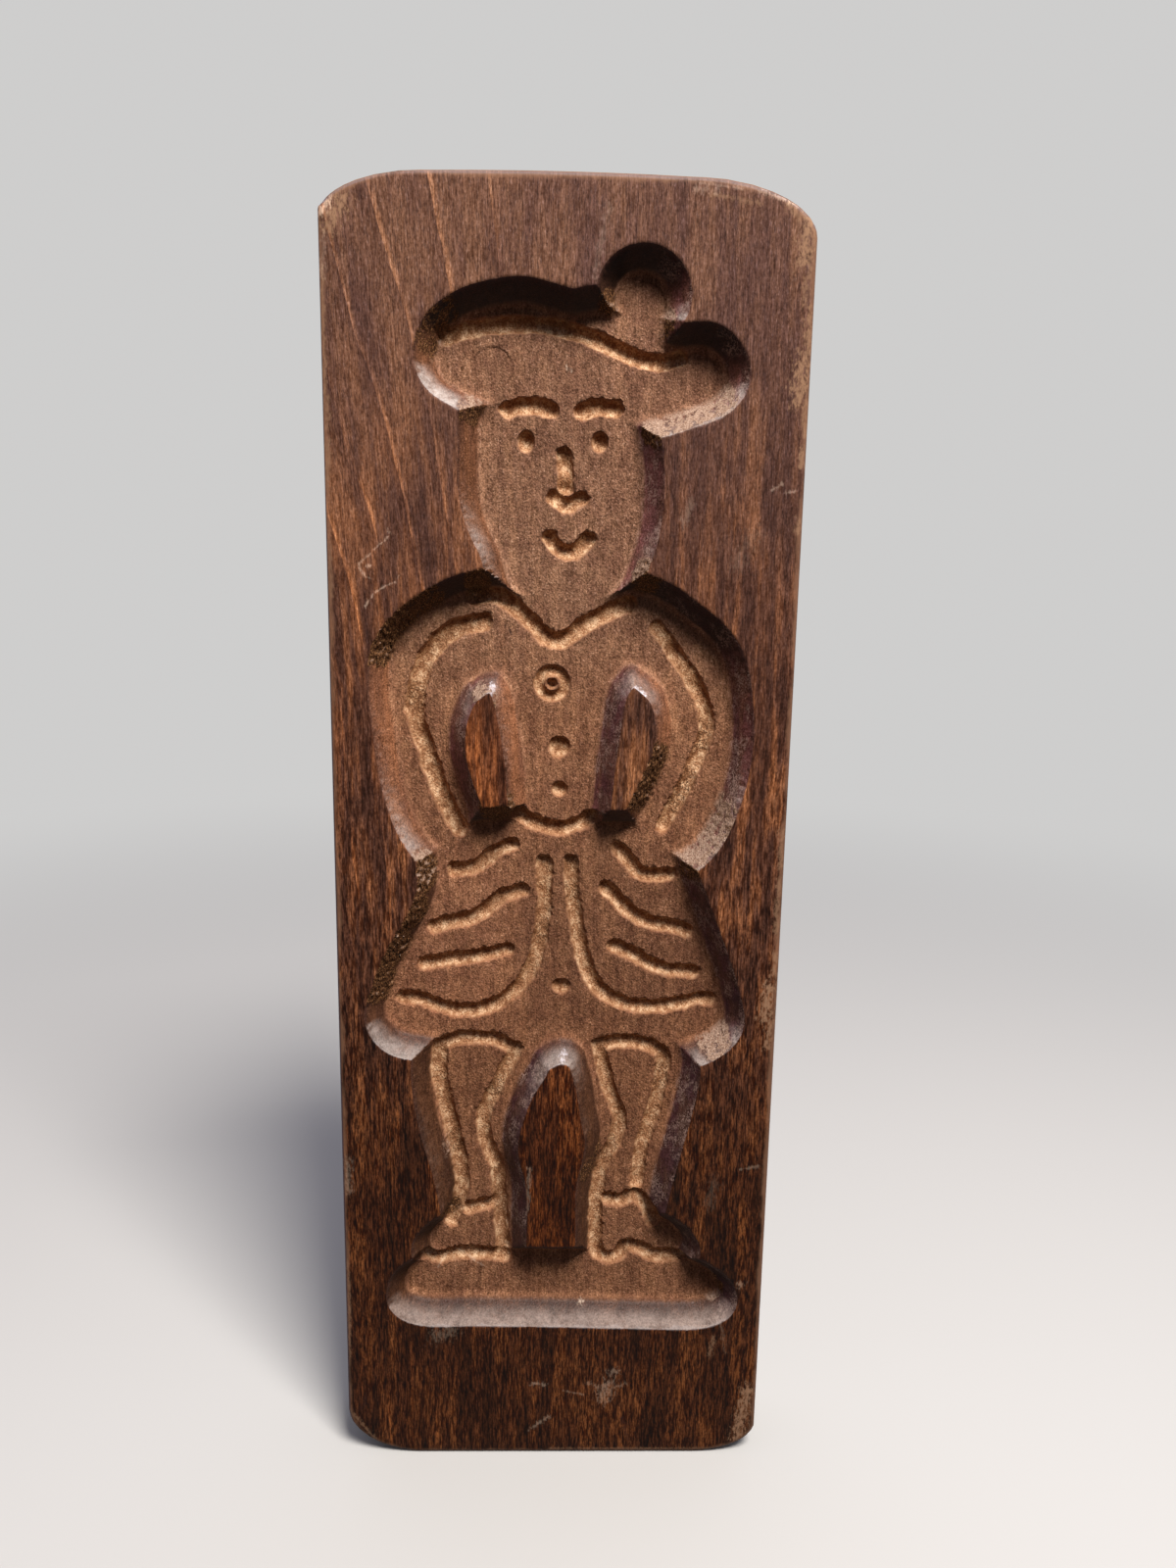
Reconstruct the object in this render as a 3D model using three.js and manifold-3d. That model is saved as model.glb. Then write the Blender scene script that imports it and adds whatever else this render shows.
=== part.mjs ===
// A cookie mould: one hardwood board with a walking figure cut into its face as a pocket.
// Millimetres, +Z up. The board stands on its bottom end, the carved face looks along -Y,
// and the origin is on the ground under the middle of the board.

import * as THREE from 'three';
import { mergeVertices } from 'three/addons/utils/BufferGeometryUtils.js';
import Module from 'manifold-3d';

const wasm = await Module();
wasm.setup();

// The board
const BOARD_WIDTH = 100;
const BOARD_LENGTH = 293;
const BOARD_THICKNESS = 20;
const TOP_ARCH_RISE = 0.4;
const EDGE_ROUNDING = 1.2;

// How far each round corner reaches along the end and up the side. Wear has left them unequal.
const CORNERS = {
  bottomRight: { along: 16, up: 8 },
  topRight: { along: 25, up: 11 },
  topLeft: { along: 22, up: 9 },
  bottomLeft: { along: 19, up: 12 },
};

// The margins of plain wood that frame the pocket on the face
const HEAD_MARGIN = 13;
const FOOT_MARGIN = 34.6;
const SIDE_MARGIN = 5.6;

// The pocket: a flat floor, a cove, and a wall that leans out to the rim
const POCKET_DEPTH = 6.5;
const WALL_RUN = 4.4;
const COVE_SIZE = 0.9;

// The round-bottomed grooves that draw the face and the clothes on the pocket floor
const GROOVE_WIDTH = 3.8;
const GROOVE_DEPTH = 1.5;
const PIT_DEPTH = 1.3;
const BUTTON_GROOVE_WIDTH = 2.6;
const BUTTON_GROOVE_DEPTH = 1.1;

// How finely curves are stepped
const OUTLINE_STEP = 3.8;
const TRACE_STEPS = 400;
const GROOVE_STEP = 3.8;
const GROOVE_SIDES = 8;
const GROOVE_END_RINGS = [{ ahead: 0.55, size: 0.83 }, { ahead: 0.9, size: 0.4 }];
const PIT_SIDES = 12;
const PIT_BANDS = 8;
const BUTTON_STEPS = 16;
const CORNER_STEPS = 8;
const ARCH_STEPS = 8;
const EDGE_STEPS = 3;
const CUTTER_OVERSHOOT = 1;

// The figure is drawn at floor level on a 100 by 293 board: x from the centre line,
// z above the bottom end. These are the ends of that drawing.
const DRAWN_HALF_WIDTH = 40;
const DRAWN_FOOT = 39;
const DRAWN_HEAD = 275.6;

// The parts of the figure. They overlap, and where the walls of two parts meet at an angle
// they cross in a sharp line, as they do between the sleeves and the skirt.
const FLOOR_OUTLINES = [
  // hat
  [[-27, 258], [-25.5, 262.5], [-21, 266], [-15, 268], [-9, 268.7], [-4, 267.7], [1, 266.6], [6, 267.4],
    [13, 265], [22, 260.8], [29, 260.8], [32.2, 258.2], [33.2, 254.5], [31, 251.3], [25, 248.8],
    [17, 246.5], [0, 246], [-17, 250], [-22, 252], [-25.8, 254.5]],
  // head
  [[-17.6, 246], [-18, 240], [-18, 232], [-16.6, 225.5], [-13.8, 219.5], [-10.5, 211], [0, 205],
    [10.5, 211], [14.3, 219], [15.8, 225.5], [16.2, 232], [15.6, 240], [13, 247], [0, 252], [-13, 250.5]],
  // chest
  [[-18, 209.5], [0, 208], [18, 209.3], [20, 202], [14, 196], [9.8, 190], [8.4, 182], [7.2, 172],
    [6.4, 163], [5, 156], [-5, 156], [-7.2, 163], [-8, 173], [-9.6, 183], [-11.4, 190], [-16, 196],
    [-20, 202]],
  // left arm
  [[-13, 210.5], [-20, 210], [-27, 206.8], [-33, 202.3], [-36.6, 197.5], [-37.6, 190], [-36.6, 180],
    [-34.8, 168], [-31.6, 158.5], [-27, 153], [-22.5, 154.5], [-21, 160], [-23.5, 167.5], [-25.2, 175],
    [-24.3, 183], [-20.5, 190], [-14, 196], [-8, 202]],
  // right arm
  [[14, 210.5], [20.5, 208.8], [26.5, 204.8], [32, 200.4], [35.2, 195], [37, 186], [37.2, 176],
    [35.3, 166], [31.5, 157], [26.5, 152.5], [20, 153.5], [17.5, 158.5], [20.5, 166.5], [23.9, 175],
    [24.6, 183], [22.4, 190], [15.5, 196], [9, 202]],
  // skirt
  [[-13, 159.5], [-21, 158], [-27, 152.5], [-27.5, 144], [-30, 137], [-34.5, 129], [-38.2, 120],
    [-39.6, 113.5], [-37, 109.6], [-31, 108], [-20, 106.5], [-10, 106], [1, 108.8], [12, 106], [20, 106],
    [29, 106.5], [35, 109], [38.2, 113], [37, 120], [34, 129], [30.5, 138], [27, 147], [24.5, 154],
    [18, 158.5], [9.5, 159], [0, 160]],
  // left leg
  [[-26, 110], [-29, 104], [-29, 96], [-27, 85], [-24.6, 76], [-22.8, 66], [-21.5, 57], [-17, 52],
    [-12, 55], [-11.2, 63], [-11.5, 72], [-13.2, 79], [-13.2, 84.5], [-12, 90], [-9.5, 97], [-6.2, 103],
    [-5, 108], [-12, 112]],
  // right leg
  [[26, 109], [28.6, 103], [27.2, 92], [25, 82], [22.8, 72], [21, 62], [19.5, 55], [15, 52], [10, 55],
    [9.2, 63], [9.2, 72], [10.6, 79], [11, 84.5], [9.9, 90], [8.8, 97], [7.4, 103], [7, 108], [14, 112]],
  // left foot
  [[-12, 59], [-19, 61.8], [-24, 61.2], [-28, 58.6], [-29.8, 55.2], [-28, 52], [-21, 50], [-12, 50.5]],
  // right foot
  [[10, 59], [18, 61.8], [24, 61.4], [28.4, 58.6], [30.4, 55], [28.5, 52], [21, 50], [10, 50.5]],
  // ground under the feet
  [[-35.4, 45.8], [-33, 48.6], [-24, 51], [-12, 52], [0, 52], [12, 52], [26, 51], [34.5, 48.5],
    [39.2, 44.5], [39.6, 41.2], [36, 39.2], [18, 39], [0, 39.4], [-18, 39.6], [-32.5, 39.9], [-35.6, 42]],
  // the feather's foot, where it joins the hat
  [[8.5, 266], [11.5, 268], [15.5, 269], [19, 267.5], [19.3, 264.5], [19.3, 261], [16, 259], [10, 261]],
];
const FEATHER = { x: 15.3, z: 270.3, radius: 5.3 };

const GROOVES = [
  // brim of the hat
  [[-25, 262], [-19.5, 264], [-11, 265], [-3, 264.8], [5, 262.6], [13.5, 259.3], [19, 258], [23.5, 259]],
  // eyebrows, nose and mouth
  [[-13.2, 247.8], [-8.5, 249], [-5, 248.8], [-2.3, 247.6]],
  [[2.5, 247.9], [6, 248.7], [11, 248.8]],
  [[-0.2, 238.8], [-0.2, 232.5]],
  [[-2.5, 230.2], [0.3, 228.7], [3.3, 230.2]],
  [[-3.5, 221.8], [-1.5, 219.6], [0.8, 218.8], [3, 219.6], [4.9, 221.5]],
  // collar
  [[-19.5, 209], [-15.5, 209.4], [-12, 208], [-7, 203.6], [-3.5, 200.6], [-1, 199.8], [1.5, 201],
    [5, 203.6], [9.5, 206], [14, 208]],
  // sleeves
  [[-17.5, 203.5], [-23.5, 202], [-29.5, 196.2], [-32.2, 189], [-32.8, 184], [-30, 174.5], [-27, 165.5],
    [-22.8, 157.3]],
  [[20.5, 203], [24.5, 197.5], [29, 191], [31.6, 185.5], [32, 180], [29.5, 172], [26, 164.3], [23, 158.5]],
  // belt
  [[-9, 160.8], [-5.5, 158.6], [-0.5, 157.6], [4, 158.6], [7, 160.3]],
  // folds on the left of the skirt
  [[-24, 147.8], [-20, 148], [-17.5, 149.6], [-14, 152.3], [-11, 153.8]],
  [[-28.5, 134], [-24.5, 135.4], [-20.5, 136], [-17, 138], [-12.5, 141.8], [-8.5, 142.8]],
  [[-31, 125], [-25, 126.2], [-19, 127], [-12, 128.6]],
  [[-36, 116.6], [-32.5, 116.6], [-27, 114.5], [-21, 113.6], [-15.5, 114.8], [-11, 118], [-7, 123],
    [-4.8, 130], [-3.6, 139], [-3.6, 149.6]],
  // folds on the right of the skirt
  [[12.9, 153.1], [15.2, 150.7], [17.6, 147.9], [20, 146.9], [24.6, 147]],
  [[10.5, 143.6], [13.6, 140.6], [17.5, 137], [21, 135.4], [25, 134.9], [29, 133.6]],
  [[12.8, 129.8], [17, 127.8], [22.5, 124.9], [27, 123.8], [31, 123.6]],
  [[2.4, 149.6], [2.6, 144], [3.7, 136], [5, 129], [7.2, 122.4], [11, 117.8], [16, 115.4], [22, 114.9],
    [28, 115.8], [32, 117], [35, 117]],
  // left leg: hem, inside, outside, ankle and sole
  [[-27.5, 105.2], [-22, 106.8], [-15, 106.6], [-10, 104]],
  [[-10.3, 103], [-14, 95], [-17.4, 87.5], [-17, 81], [-14.2, 74], [-13.5, 65], [-12.6, 52.5]],
  [[-27.5, 104.5], [-28, 99], [-26.5, 91], [-24, 80], [-22.5, 71], [-23.2, 65], [-25, 59.5]],
  [[-20.8, 62.7], [-14.2, 64.6]],
  [[-31, 51], [-28.5, 49.7], [-24, 50.6], [-19, 50.8], [-12.5, 50]],
  // right leg: hem, inside, outside, ankle and sole
  [[9.5, 105.2], [15, 106.2], [21, 105.5], [24.8, 103.5]],
  [[9.6, 104.5], [12, 95], [14.8, 87], [14.2, 81.5], [11, 74.5], [10, 68], [9.7, 57], [10.4, 51.3],
    [13.5, 49.5]],
  [[25, 103], [24.5, 96.5], [22.8, 88], [20.6, 80], [19.5, 70]],
  [[12.7, 65.6], [15.5, 65], [19.3, 66.6], [22, 63.5], [23.5, 59.7]],
  [[13.5, 49.6], [16, 50.6], [17.3, 52.8], [21, 51.8], [25, 50.3], [30, 50.4]],
];

// Round pits: the eyes and the small buttons, each with its half width and half height
const PITS = [
  { x: -8.5, z: 241.6, halfWidth: 1.9, halfHeight: 2.4 },
  { x: 7.1, z: 241.8, halfWidth: 1.9, halfHeight: 2.3 },
  { x: -0.6, z: 176.2, halfWidth: 2.5, halfHeight: 2.6 },
  { x: -0.4, z: 166.6, halfWidth: 1.9, halfHeight: 1.9 },
  { x: 0.5, z: 119.8, halfWidth: 2.3, halfHeight: 2 },
];
const TOP_BUTTON = { x: -2.4, z: 190.4, radius: 2.9, pit: 1.1 };

const faceY = -BOARD_THICKNESS / 2;
const backY = BOARD_THICKNESS / 2;
const floorY = faceY + POCKET_DEPTH;
const scaleX = (BOARD_WIDTH / 2 - SIDE_MARGIN - WALL_RUN) / DRAWN_HALF_WIDTH;
const scaleZ = (BOARD_LENGTH - HEAD_MARGIN - FOOT_MARGIN - 2 * WALL_RUN) / (DRAWN_HEAD - DRAWN_FOOT);

// A drawn point, put on the pocket floor of this board
function onFloor([x, z]) {
  return new THREE.Vector3(x * scaleX, floorY, FOOT_MARGIN + WALL_RUN + (z - DRAWN_FOOT) * scaleZ);
}

function curveThrough(points, closed) {
  return new THREE.CatmullRomCurve3(points.map(onFloor), closed, 'centripetal');
}

// Points along a closed outline in the XZ plane, each with the direction that leads out of it.
// They lie at even steps along the rim, so that a tight corner gets as many as a long side.
function stationsRound(curve) {
  const places = [];
  for (let i = 0; i < TRACE_STEPS; i += 1) {
    const tangent = curve.getTangentAt(i / TRACE_STEPS);
    const out = new THREE.Vector3(tangent.z, 0, -tangent.x);
    places.push({ point: curve.getPointAt(i / TRACE_STEPS), out });
  }
  const next = (i) => places[(i + 1) % TRACE_STEPS];
  const area = places.reduce((sum, { point }, i) => {
    const after = next(i).point;
    return sum + point.x * after.z - after.x * point.z;
  }, 0);
  if (area < 0) {
    places.forEach((place) => place.out.negate());
  }
  const rim = ({ point, out }) => point.clone().addScaledVector(out, WALL_RUN);
  const travelled = [0];
  places.forEach((place, i) => travelled.push(travelled[i] + rim(place).distanceTo(rim(next(i)))));
  const length = travelled[TRACE_STEPS];
  const count = Math.round(length / OUTLINE_STEP);
  const chosen = [];
  for (let i = 0; i < count; i += 1) {
    chosen.push(places[travelled.findIndex((sum) => sum >= (i / count) * length)]);
  }
  return chosen;
}

function ringAt(stations, outward, y) {
  return stations.map(({ point, out }) => new THREE.Vector3(
    point.x + out.x * outward,
    y,
    point.z + out.z * outward,
  ));
}

// The two triangles of each step between two rings of equal count
function wallBetween(first, second, count) {
  const triangles = [];
  for (let i = 0; i < count; i += 1) {
    const j = (i + 1) % count;
    triangles.push(first + i, first + j, second + j, first + i, second + j, second + i);
  }
  return triangles;
}

// The flat triangles that close a ring
function capOf(ring, first, flip) {
  const u = new THREE.Vector3().subVectors(ring[1], ring[0]).normalize();
  const normal = new THREE.Vector3();
  ring.forEach((point, i) => normal.add(new THREE.Vector3().crossVectors(point, ring[(i + 1) % ring.length])));
  const v = new THREE.Vector3().crossVectors(normal.normalize(), u);
  const flat = ring.map((point) => new THREE.Vector2(point.dot(u), point.dot(v)));
  return THREE.ShapeUtils.triangulateShape(flat, []).flatMap(([a, b, c]) => (
    flip ? [first + a, first + c, first + b] : [first + a, first + b, first + c]
  ));
}

// A solid through a list of rings. A loop joins its last ring to its first and has no ends.
function loft(rings, loop = false) {
  const count = rings[0].length;
  const triangles = [];
  for (let i = 0; i + 1 < rings.length; i += 1) {
    triangles.push(...wallBetween(i * count, (i + 1) * count, count));
  }
  const last = (rings.length - 1) * count;
  if (loop) {
    triangles.push(...wallBetween(last, 0, count));
  } else {
    triangles.push(...capOf(rings[0], 0, true), ...capOf(rings[rings.length - 1], last, false));
  }
  const geometry = new THREE.BufferGeometry();
  const numbers = rings.flat().flatMap((point) => point.toArray());
  geometry.setAttribute('position', new THREE.Float32BufferAttribute(numbers, 3));
  geometry.setIndex(triangles);
  return geometry;
}

function signedVolume(positions, index) {
  const corner = (i) => new THREE.Vector3().fromArray(positions, index[i] * 3);
  let total = 0;
  for (let i = 0; i < index.length; i += 3) {
    total += corner(i).dot(corner(i + 1).cross(corner(i + 2))) / 6;
  }
  return total;
}

function toSolid(geometry) {
  const bare = geometry.clone();
  bare.deleteAttribute('normal');
  bare.deleteAttribute('uv');
  const merged = mergeVertices(bare);
  const vertProperties = new Float32Array(merged.attributes.position.array);
  const triVerts = new Uint32Array(merged.index.array);
  if (signedVolume(vertProperties, triVerts) < 0) {
    triVerts.reverse();
  }
  return new wasm.Manifold(new wasm.Mesh({ numProp: 3, vertProperties, triVerts }));
}

function fromSolid(solid) {
  const mesh = solid.getMesh();
  const geometry = new THREE.BufferGeometry();
  geometry.setAttribute('position', new THREE.Float32BufferAttribute(mesh.vertProperties, 3));
  geometry.setIndex(new THREE.Uint32BufferAttribute(mesh.triVerts, 1));
  geometry.computeVertexNormals();
  return geometry;
}

// Points round one corner, a quarter of an ellipse, each with the direction that leads out of it
function corner({ along, up }, x, z, fromQuarter) {
  const points = [];
  for (let i = 0; i <= CORNER_STEPS; i += 1) {
    const angle = (fromQuarter + i / CORNER_STEPS) * (Math.PI / 2);
    const point = new THREE.Vector3(x + along * Math.cos(angle), 0, z + up * Math.sin(angle));
    const out = new THREE.Vector3(Math.cos(angle) / along, 0, Math.sin(angle) / up).normalize();
    points.push({ point, out });
  }
  return points;
}

// The outline of the board: straight sides, round corners and a top that bows up slightly
function boardStations() {
  const { bottomRight, topRight, topLeft, bottomLeft } = CORNERS;
  const half = BOARD_WIDTH / 2;
  const topZ = BOARD_LENGTH - TOP_ARCH_RISE;
  const archFrom = half - topRight.along;
  const archTo = topLeft.along - half;
  const stations = [
    ...corner(bottomRight, half - bottomRight.along, bottomRight.up, -1),
    ...corner(topRight, archFrom, topZ - topRight.up, 0),
  ];
  for (let i = 1; i < ARCH_STEPS; i += 1) {
    const share = i / ARCH_STEPS;
    const x = archFrom + (archTo - archFrom) * share;
    const rise = 4 * TOP_ARCH_RISE * share * (1 - share);
    stations.push({ point: new THREE.Vector3(x, 0, topZ + rise), out: new THREE.Vector3(0, 0, 1) });
  }
  stations.push(
    ...corner(topLeft, archTo, topZ - topLeft.up, 1),
    ...corner(bottomLeft, bottomLeft.along - half, bottomLeft.up, 2),
  );
  return stations;
}

function board() {
  const stations = boardStations();
  const rings = [];
  for (let i = 0; i <= EDGE_STEPS; i += 1) {
    const angle = (i / EDGE_STEPS) * (Math.PI / 2);
    const inward = EDGE_ROUNDING * (1 - Math.sin(angle));
    rings.push(ringAt(stations, -inward, faceY + EDGE_ROUNDING * (1 - Math.cos(angle))));
  }
  for (let i = EDGE_STEPS; i >= 0; i -= 1) {
    const angle = (i / EDGE_STEPS) * (Math.PI / 2);
    const inward = EDGE_ROUNDING * (1 - Math.sin(angle));
    rings.push(ringAt(stations, -inward, backY - EDGE_ROUNDING * (1 - Math.cos(angle))));
  }
  return toSolid(loft(rings));
}

// One part of the pocket: its floor, the cove, and the wall run out past the face
function pocketPart(stations) {
  const slope = WALL_RUN / POCKET_DEPTH;
  return toSolid(loft([
    ringAt(stations, -COVE_SIZE, floorY),
    ringAt(stations, COVE_SIZE * slope, floorY - COVE_SIZE),
    ringAt(stations, WALL_RUN + CUTTER_OVERSHOOT * slope, faceY - CUTTER_OVERSHOOT),
  ]));
}

function featherStations() {
  const centre = onFloor([FEATHER.x, FEATHER.z]);
  const count = Math.round((2 * Math.PI * (FEATHER.radius + WALL_RUN)) / OUTLINE_STEP);
  const stations = [];
  for (let i = 0; i < count; i += 1) {
    const angle = (2 * Math.PI * i) / count;
    const out = new THREE.Vector3(Math.cos(angle), 0, Math.sin(angle));
    stations.push({ point: centre.clone().addScaledVector(out, FEATHER.radius), out });
  }
  return stations;
}

// The tool radius that cuts a groove of this width to this depth
function toolRadius(width, depth) {
  return (width * width / 4 + depth * depth) / (2 * depth);
}

// The ring of the round cutter at one place on its path
function toolRing(centre, tangent, radius) {
  const side = new THREE.Vector3(-tangent.z, 0, tangent.x);
  const ring = [];
  for (let i = 0; i < GROOVE_SIDES; i += 1) {
    const angle = ((i + 0.5) / GROOVE_SIDES) * 2 * Math.PI;
    ring.push(centre.clone()
      .addScaledVector(side, radius * Math.cos(angle))
      .add(new THREE.Vector3(0, radius * Math.sin(angle), 0)));
  }
  return ring;
}

// A groove with round ends along an open path
function groove(points) {
  const radius = toolRadius(GROOVE_WIDTH, GROOVE_DEPTH);
  const drop = new THREE.Vector3(0, GROOVE_DEPTH - radius, 0);
  const curve = curveThrough(points, false);
  const steps = Math.max(2, Math.round(curve.getLength() / GROOVE_STEP));
  const rings = [];
  const addRing = (u, ahead, size) => {
    const tangent = curve.getTangentAt(u);
    const centre = curve.getPointAt(u).add(drop).addScaledVector(tangent, ahead * radius);
    rings.push(toolRing(centre, tangent, size * radius));
  };
  [...GROOVE_END_RINGS].reverse().forEach(({ ahead, size }) => addRing(0, -ahead, size));
  for (let i = 0; i <= steps; i += 1) {
    addRing(i / steps, 0, 1);
  }
  GROOVE_END_RINGS.forEach(({ ahead, size }) => addRing(1, ahead, size));
  return toSolid(loft(rings));
}

function pit({ x, z, halfWidth, halfHeight }) {
  const ball = new THREE.SphereGeometry(1, PIT_SIDES, PIT_BANDS);
  ball.scale(halfWidth, PIT_DEPTH, halfHeight);
  const centre = onFloor([x, z]);
  ball.translate(centre.x, centre.y, centre.z);
  return toSolid(ball);
}

// The top button: a ring-shaped groove round a boss with a pricked centre
function topButton() {
  const centre = onFloor([TOP_BUTTON.x, TOP_BUTTON.z]);
  const radius = toolRadius(BUTTON_GROOVE_WIDTH, BUTTON_GROOVE_DEPTH);
  const rings = [];
  for (let i = 0; i < BUTTON_STEPS; i += 1) {
    const angle = (2 * Math.PI * i) / BUTTON_STEPS;
    const out = new THREE.Vector3(Math.cos(angle), 0, Math.sin(angle));
    const place = centre.clone().addScaledVector(out, TOP_BUTTON.radius);
    place.y += BUTTON_GROOVE_DEPTH - radius;
    rings.push(toolRing(place, new THREE.Vector3(-out.z, 0, out.x), radius));
  }
  const middle = pit({ ...TOP_BUTTON, halfWidth: TOP_BUTTON.pit, halfHeight: TOP_BUTTON.pit });
  return toSolid(loft(rings, true)).add(middle);
}

function mouldBoard() {
  let pocket = pocketPart(featherStations());
  FLOOR_OUTLINES.forEach((outline) => {
    pocket = pocket.add(pocketPart(stationsRound(curveThrough(outline, true))));
  });
  GROOVES.forEach((points) => {
    pocket = pocket.add(groove(points));
  });
  PITS.forEach((place) => {
    pocket = pocket.add(pit(place));
  });
  pocket = pocket.add(topButton());
  return fromSolid(board().subtract(pocket));
}

const stainedWood = new THREE.MeshStandardMaterial({ color: 0x6b4029, roughness: 0.55, metalness: 0 });
const boardMesh = new THREE.Mesh(mouldBoard(), stainedWood);
boardMesh.name = 'mould_board';

const mould = new THREE.Group();
mould.add(boardMesh);

export default mould;
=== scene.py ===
# A cookie mould: one board of stained beech with a walking figure cut into its face.
# It stands on its bottom end. The carved face looks along -Y and the origin is under the board's middle.

import math
from functools import reduce

import bpy
import numpy as np
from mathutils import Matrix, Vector, noise


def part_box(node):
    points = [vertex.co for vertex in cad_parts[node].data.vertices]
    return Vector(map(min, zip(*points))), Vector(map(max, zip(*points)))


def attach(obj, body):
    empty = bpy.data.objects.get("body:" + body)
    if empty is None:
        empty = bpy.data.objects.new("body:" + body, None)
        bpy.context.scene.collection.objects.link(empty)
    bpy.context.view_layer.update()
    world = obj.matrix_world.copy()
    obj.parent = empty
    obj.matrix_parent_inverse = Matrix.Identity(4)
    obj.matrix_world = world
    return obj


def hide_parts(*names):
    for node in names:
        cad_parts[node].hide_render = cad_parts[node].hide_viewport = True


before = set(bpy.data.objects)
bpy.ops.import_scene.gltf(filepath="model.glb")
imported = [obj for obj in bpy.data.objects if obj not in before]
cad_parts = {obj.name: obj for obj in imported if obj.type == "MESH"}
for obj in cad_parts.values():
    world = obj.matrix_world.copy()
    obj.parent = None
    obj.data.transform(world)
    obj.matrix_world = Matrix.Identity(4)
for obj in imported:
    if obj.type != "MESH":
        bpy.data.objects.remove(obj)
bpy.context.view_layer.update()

mm = 0.001
far = 40.0      # stands for a distance that is too long to matter, in mm
hair = 0.01     # and this for one that is too short
boardLow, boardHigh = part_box("mould_board")
width, thickness, length = (boardHigh - boardLow) / mm
faceY = boardLow.y / mm

# Sizes from here to the studio are in millimetres, and a place on the face is (x, z).

boardShape = {
    "bottomRight": (16, 8),     # how far each round corner reaches along the end and up the side
    "topRight": (25, 11),
    "topLeft": (22, 9),
    "bottomLeft": (19, 12),
    "cornerSteps": 14,
    "archRise": 0.4,            # how far the top end bows up
    "edgeRounding": 1.2,
    "edgeSteps": 4,
    "cell": 2.4,                # side of the squares on the plain parts of the face
    "firstCut": 2.1,            # how high the lowest row of cuts is moved up
    "throughCuts": (-6.0, -2.0, 2.0, 6.0),
    "finest": 0.3,              # side of the squares along rims and grooves
    "growth": 0.45,             # how fast the squares grow away from them
    "closest": 0.05,            # vertices nearer to each other than this are joined
    "smoothBelow": 50,          # edges with a smaller angle in degrees look round
    "edgeBand": 3,              # how far from the front and back faces the edges may wear
}

pocket = {
    "depth": 6.5,
    "wallRun": 4.4,
    "cove": 1.5,                # softness of the foot of the wall
    "rimSoftness": 0.6,
    "floorWave": 0.05,
    "ringStep": 0.18,           # the plunge marks lie this much deeper
}

grooveCut = {
    "width": 3.8,
    "depth": 1.75,
    "softness": 0.18,
    "wander": 0.2,              # how far the tool strayed from its line, over about wanderSize
    "wanderSize": 3.2,
    "ragged": 0.24,             # how far torn fibres make an edge jump
    "pressure": 0.16,           # how unevenly deep the tool went
    "draft": 4.0,               # how steeply the tool's flanks rise outside its round
    "tear": 0.65,               # how rough torn places are, in mm
    "fuzz": 0.05,               # how far loose fibres stand up in the grooves
}

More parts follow.
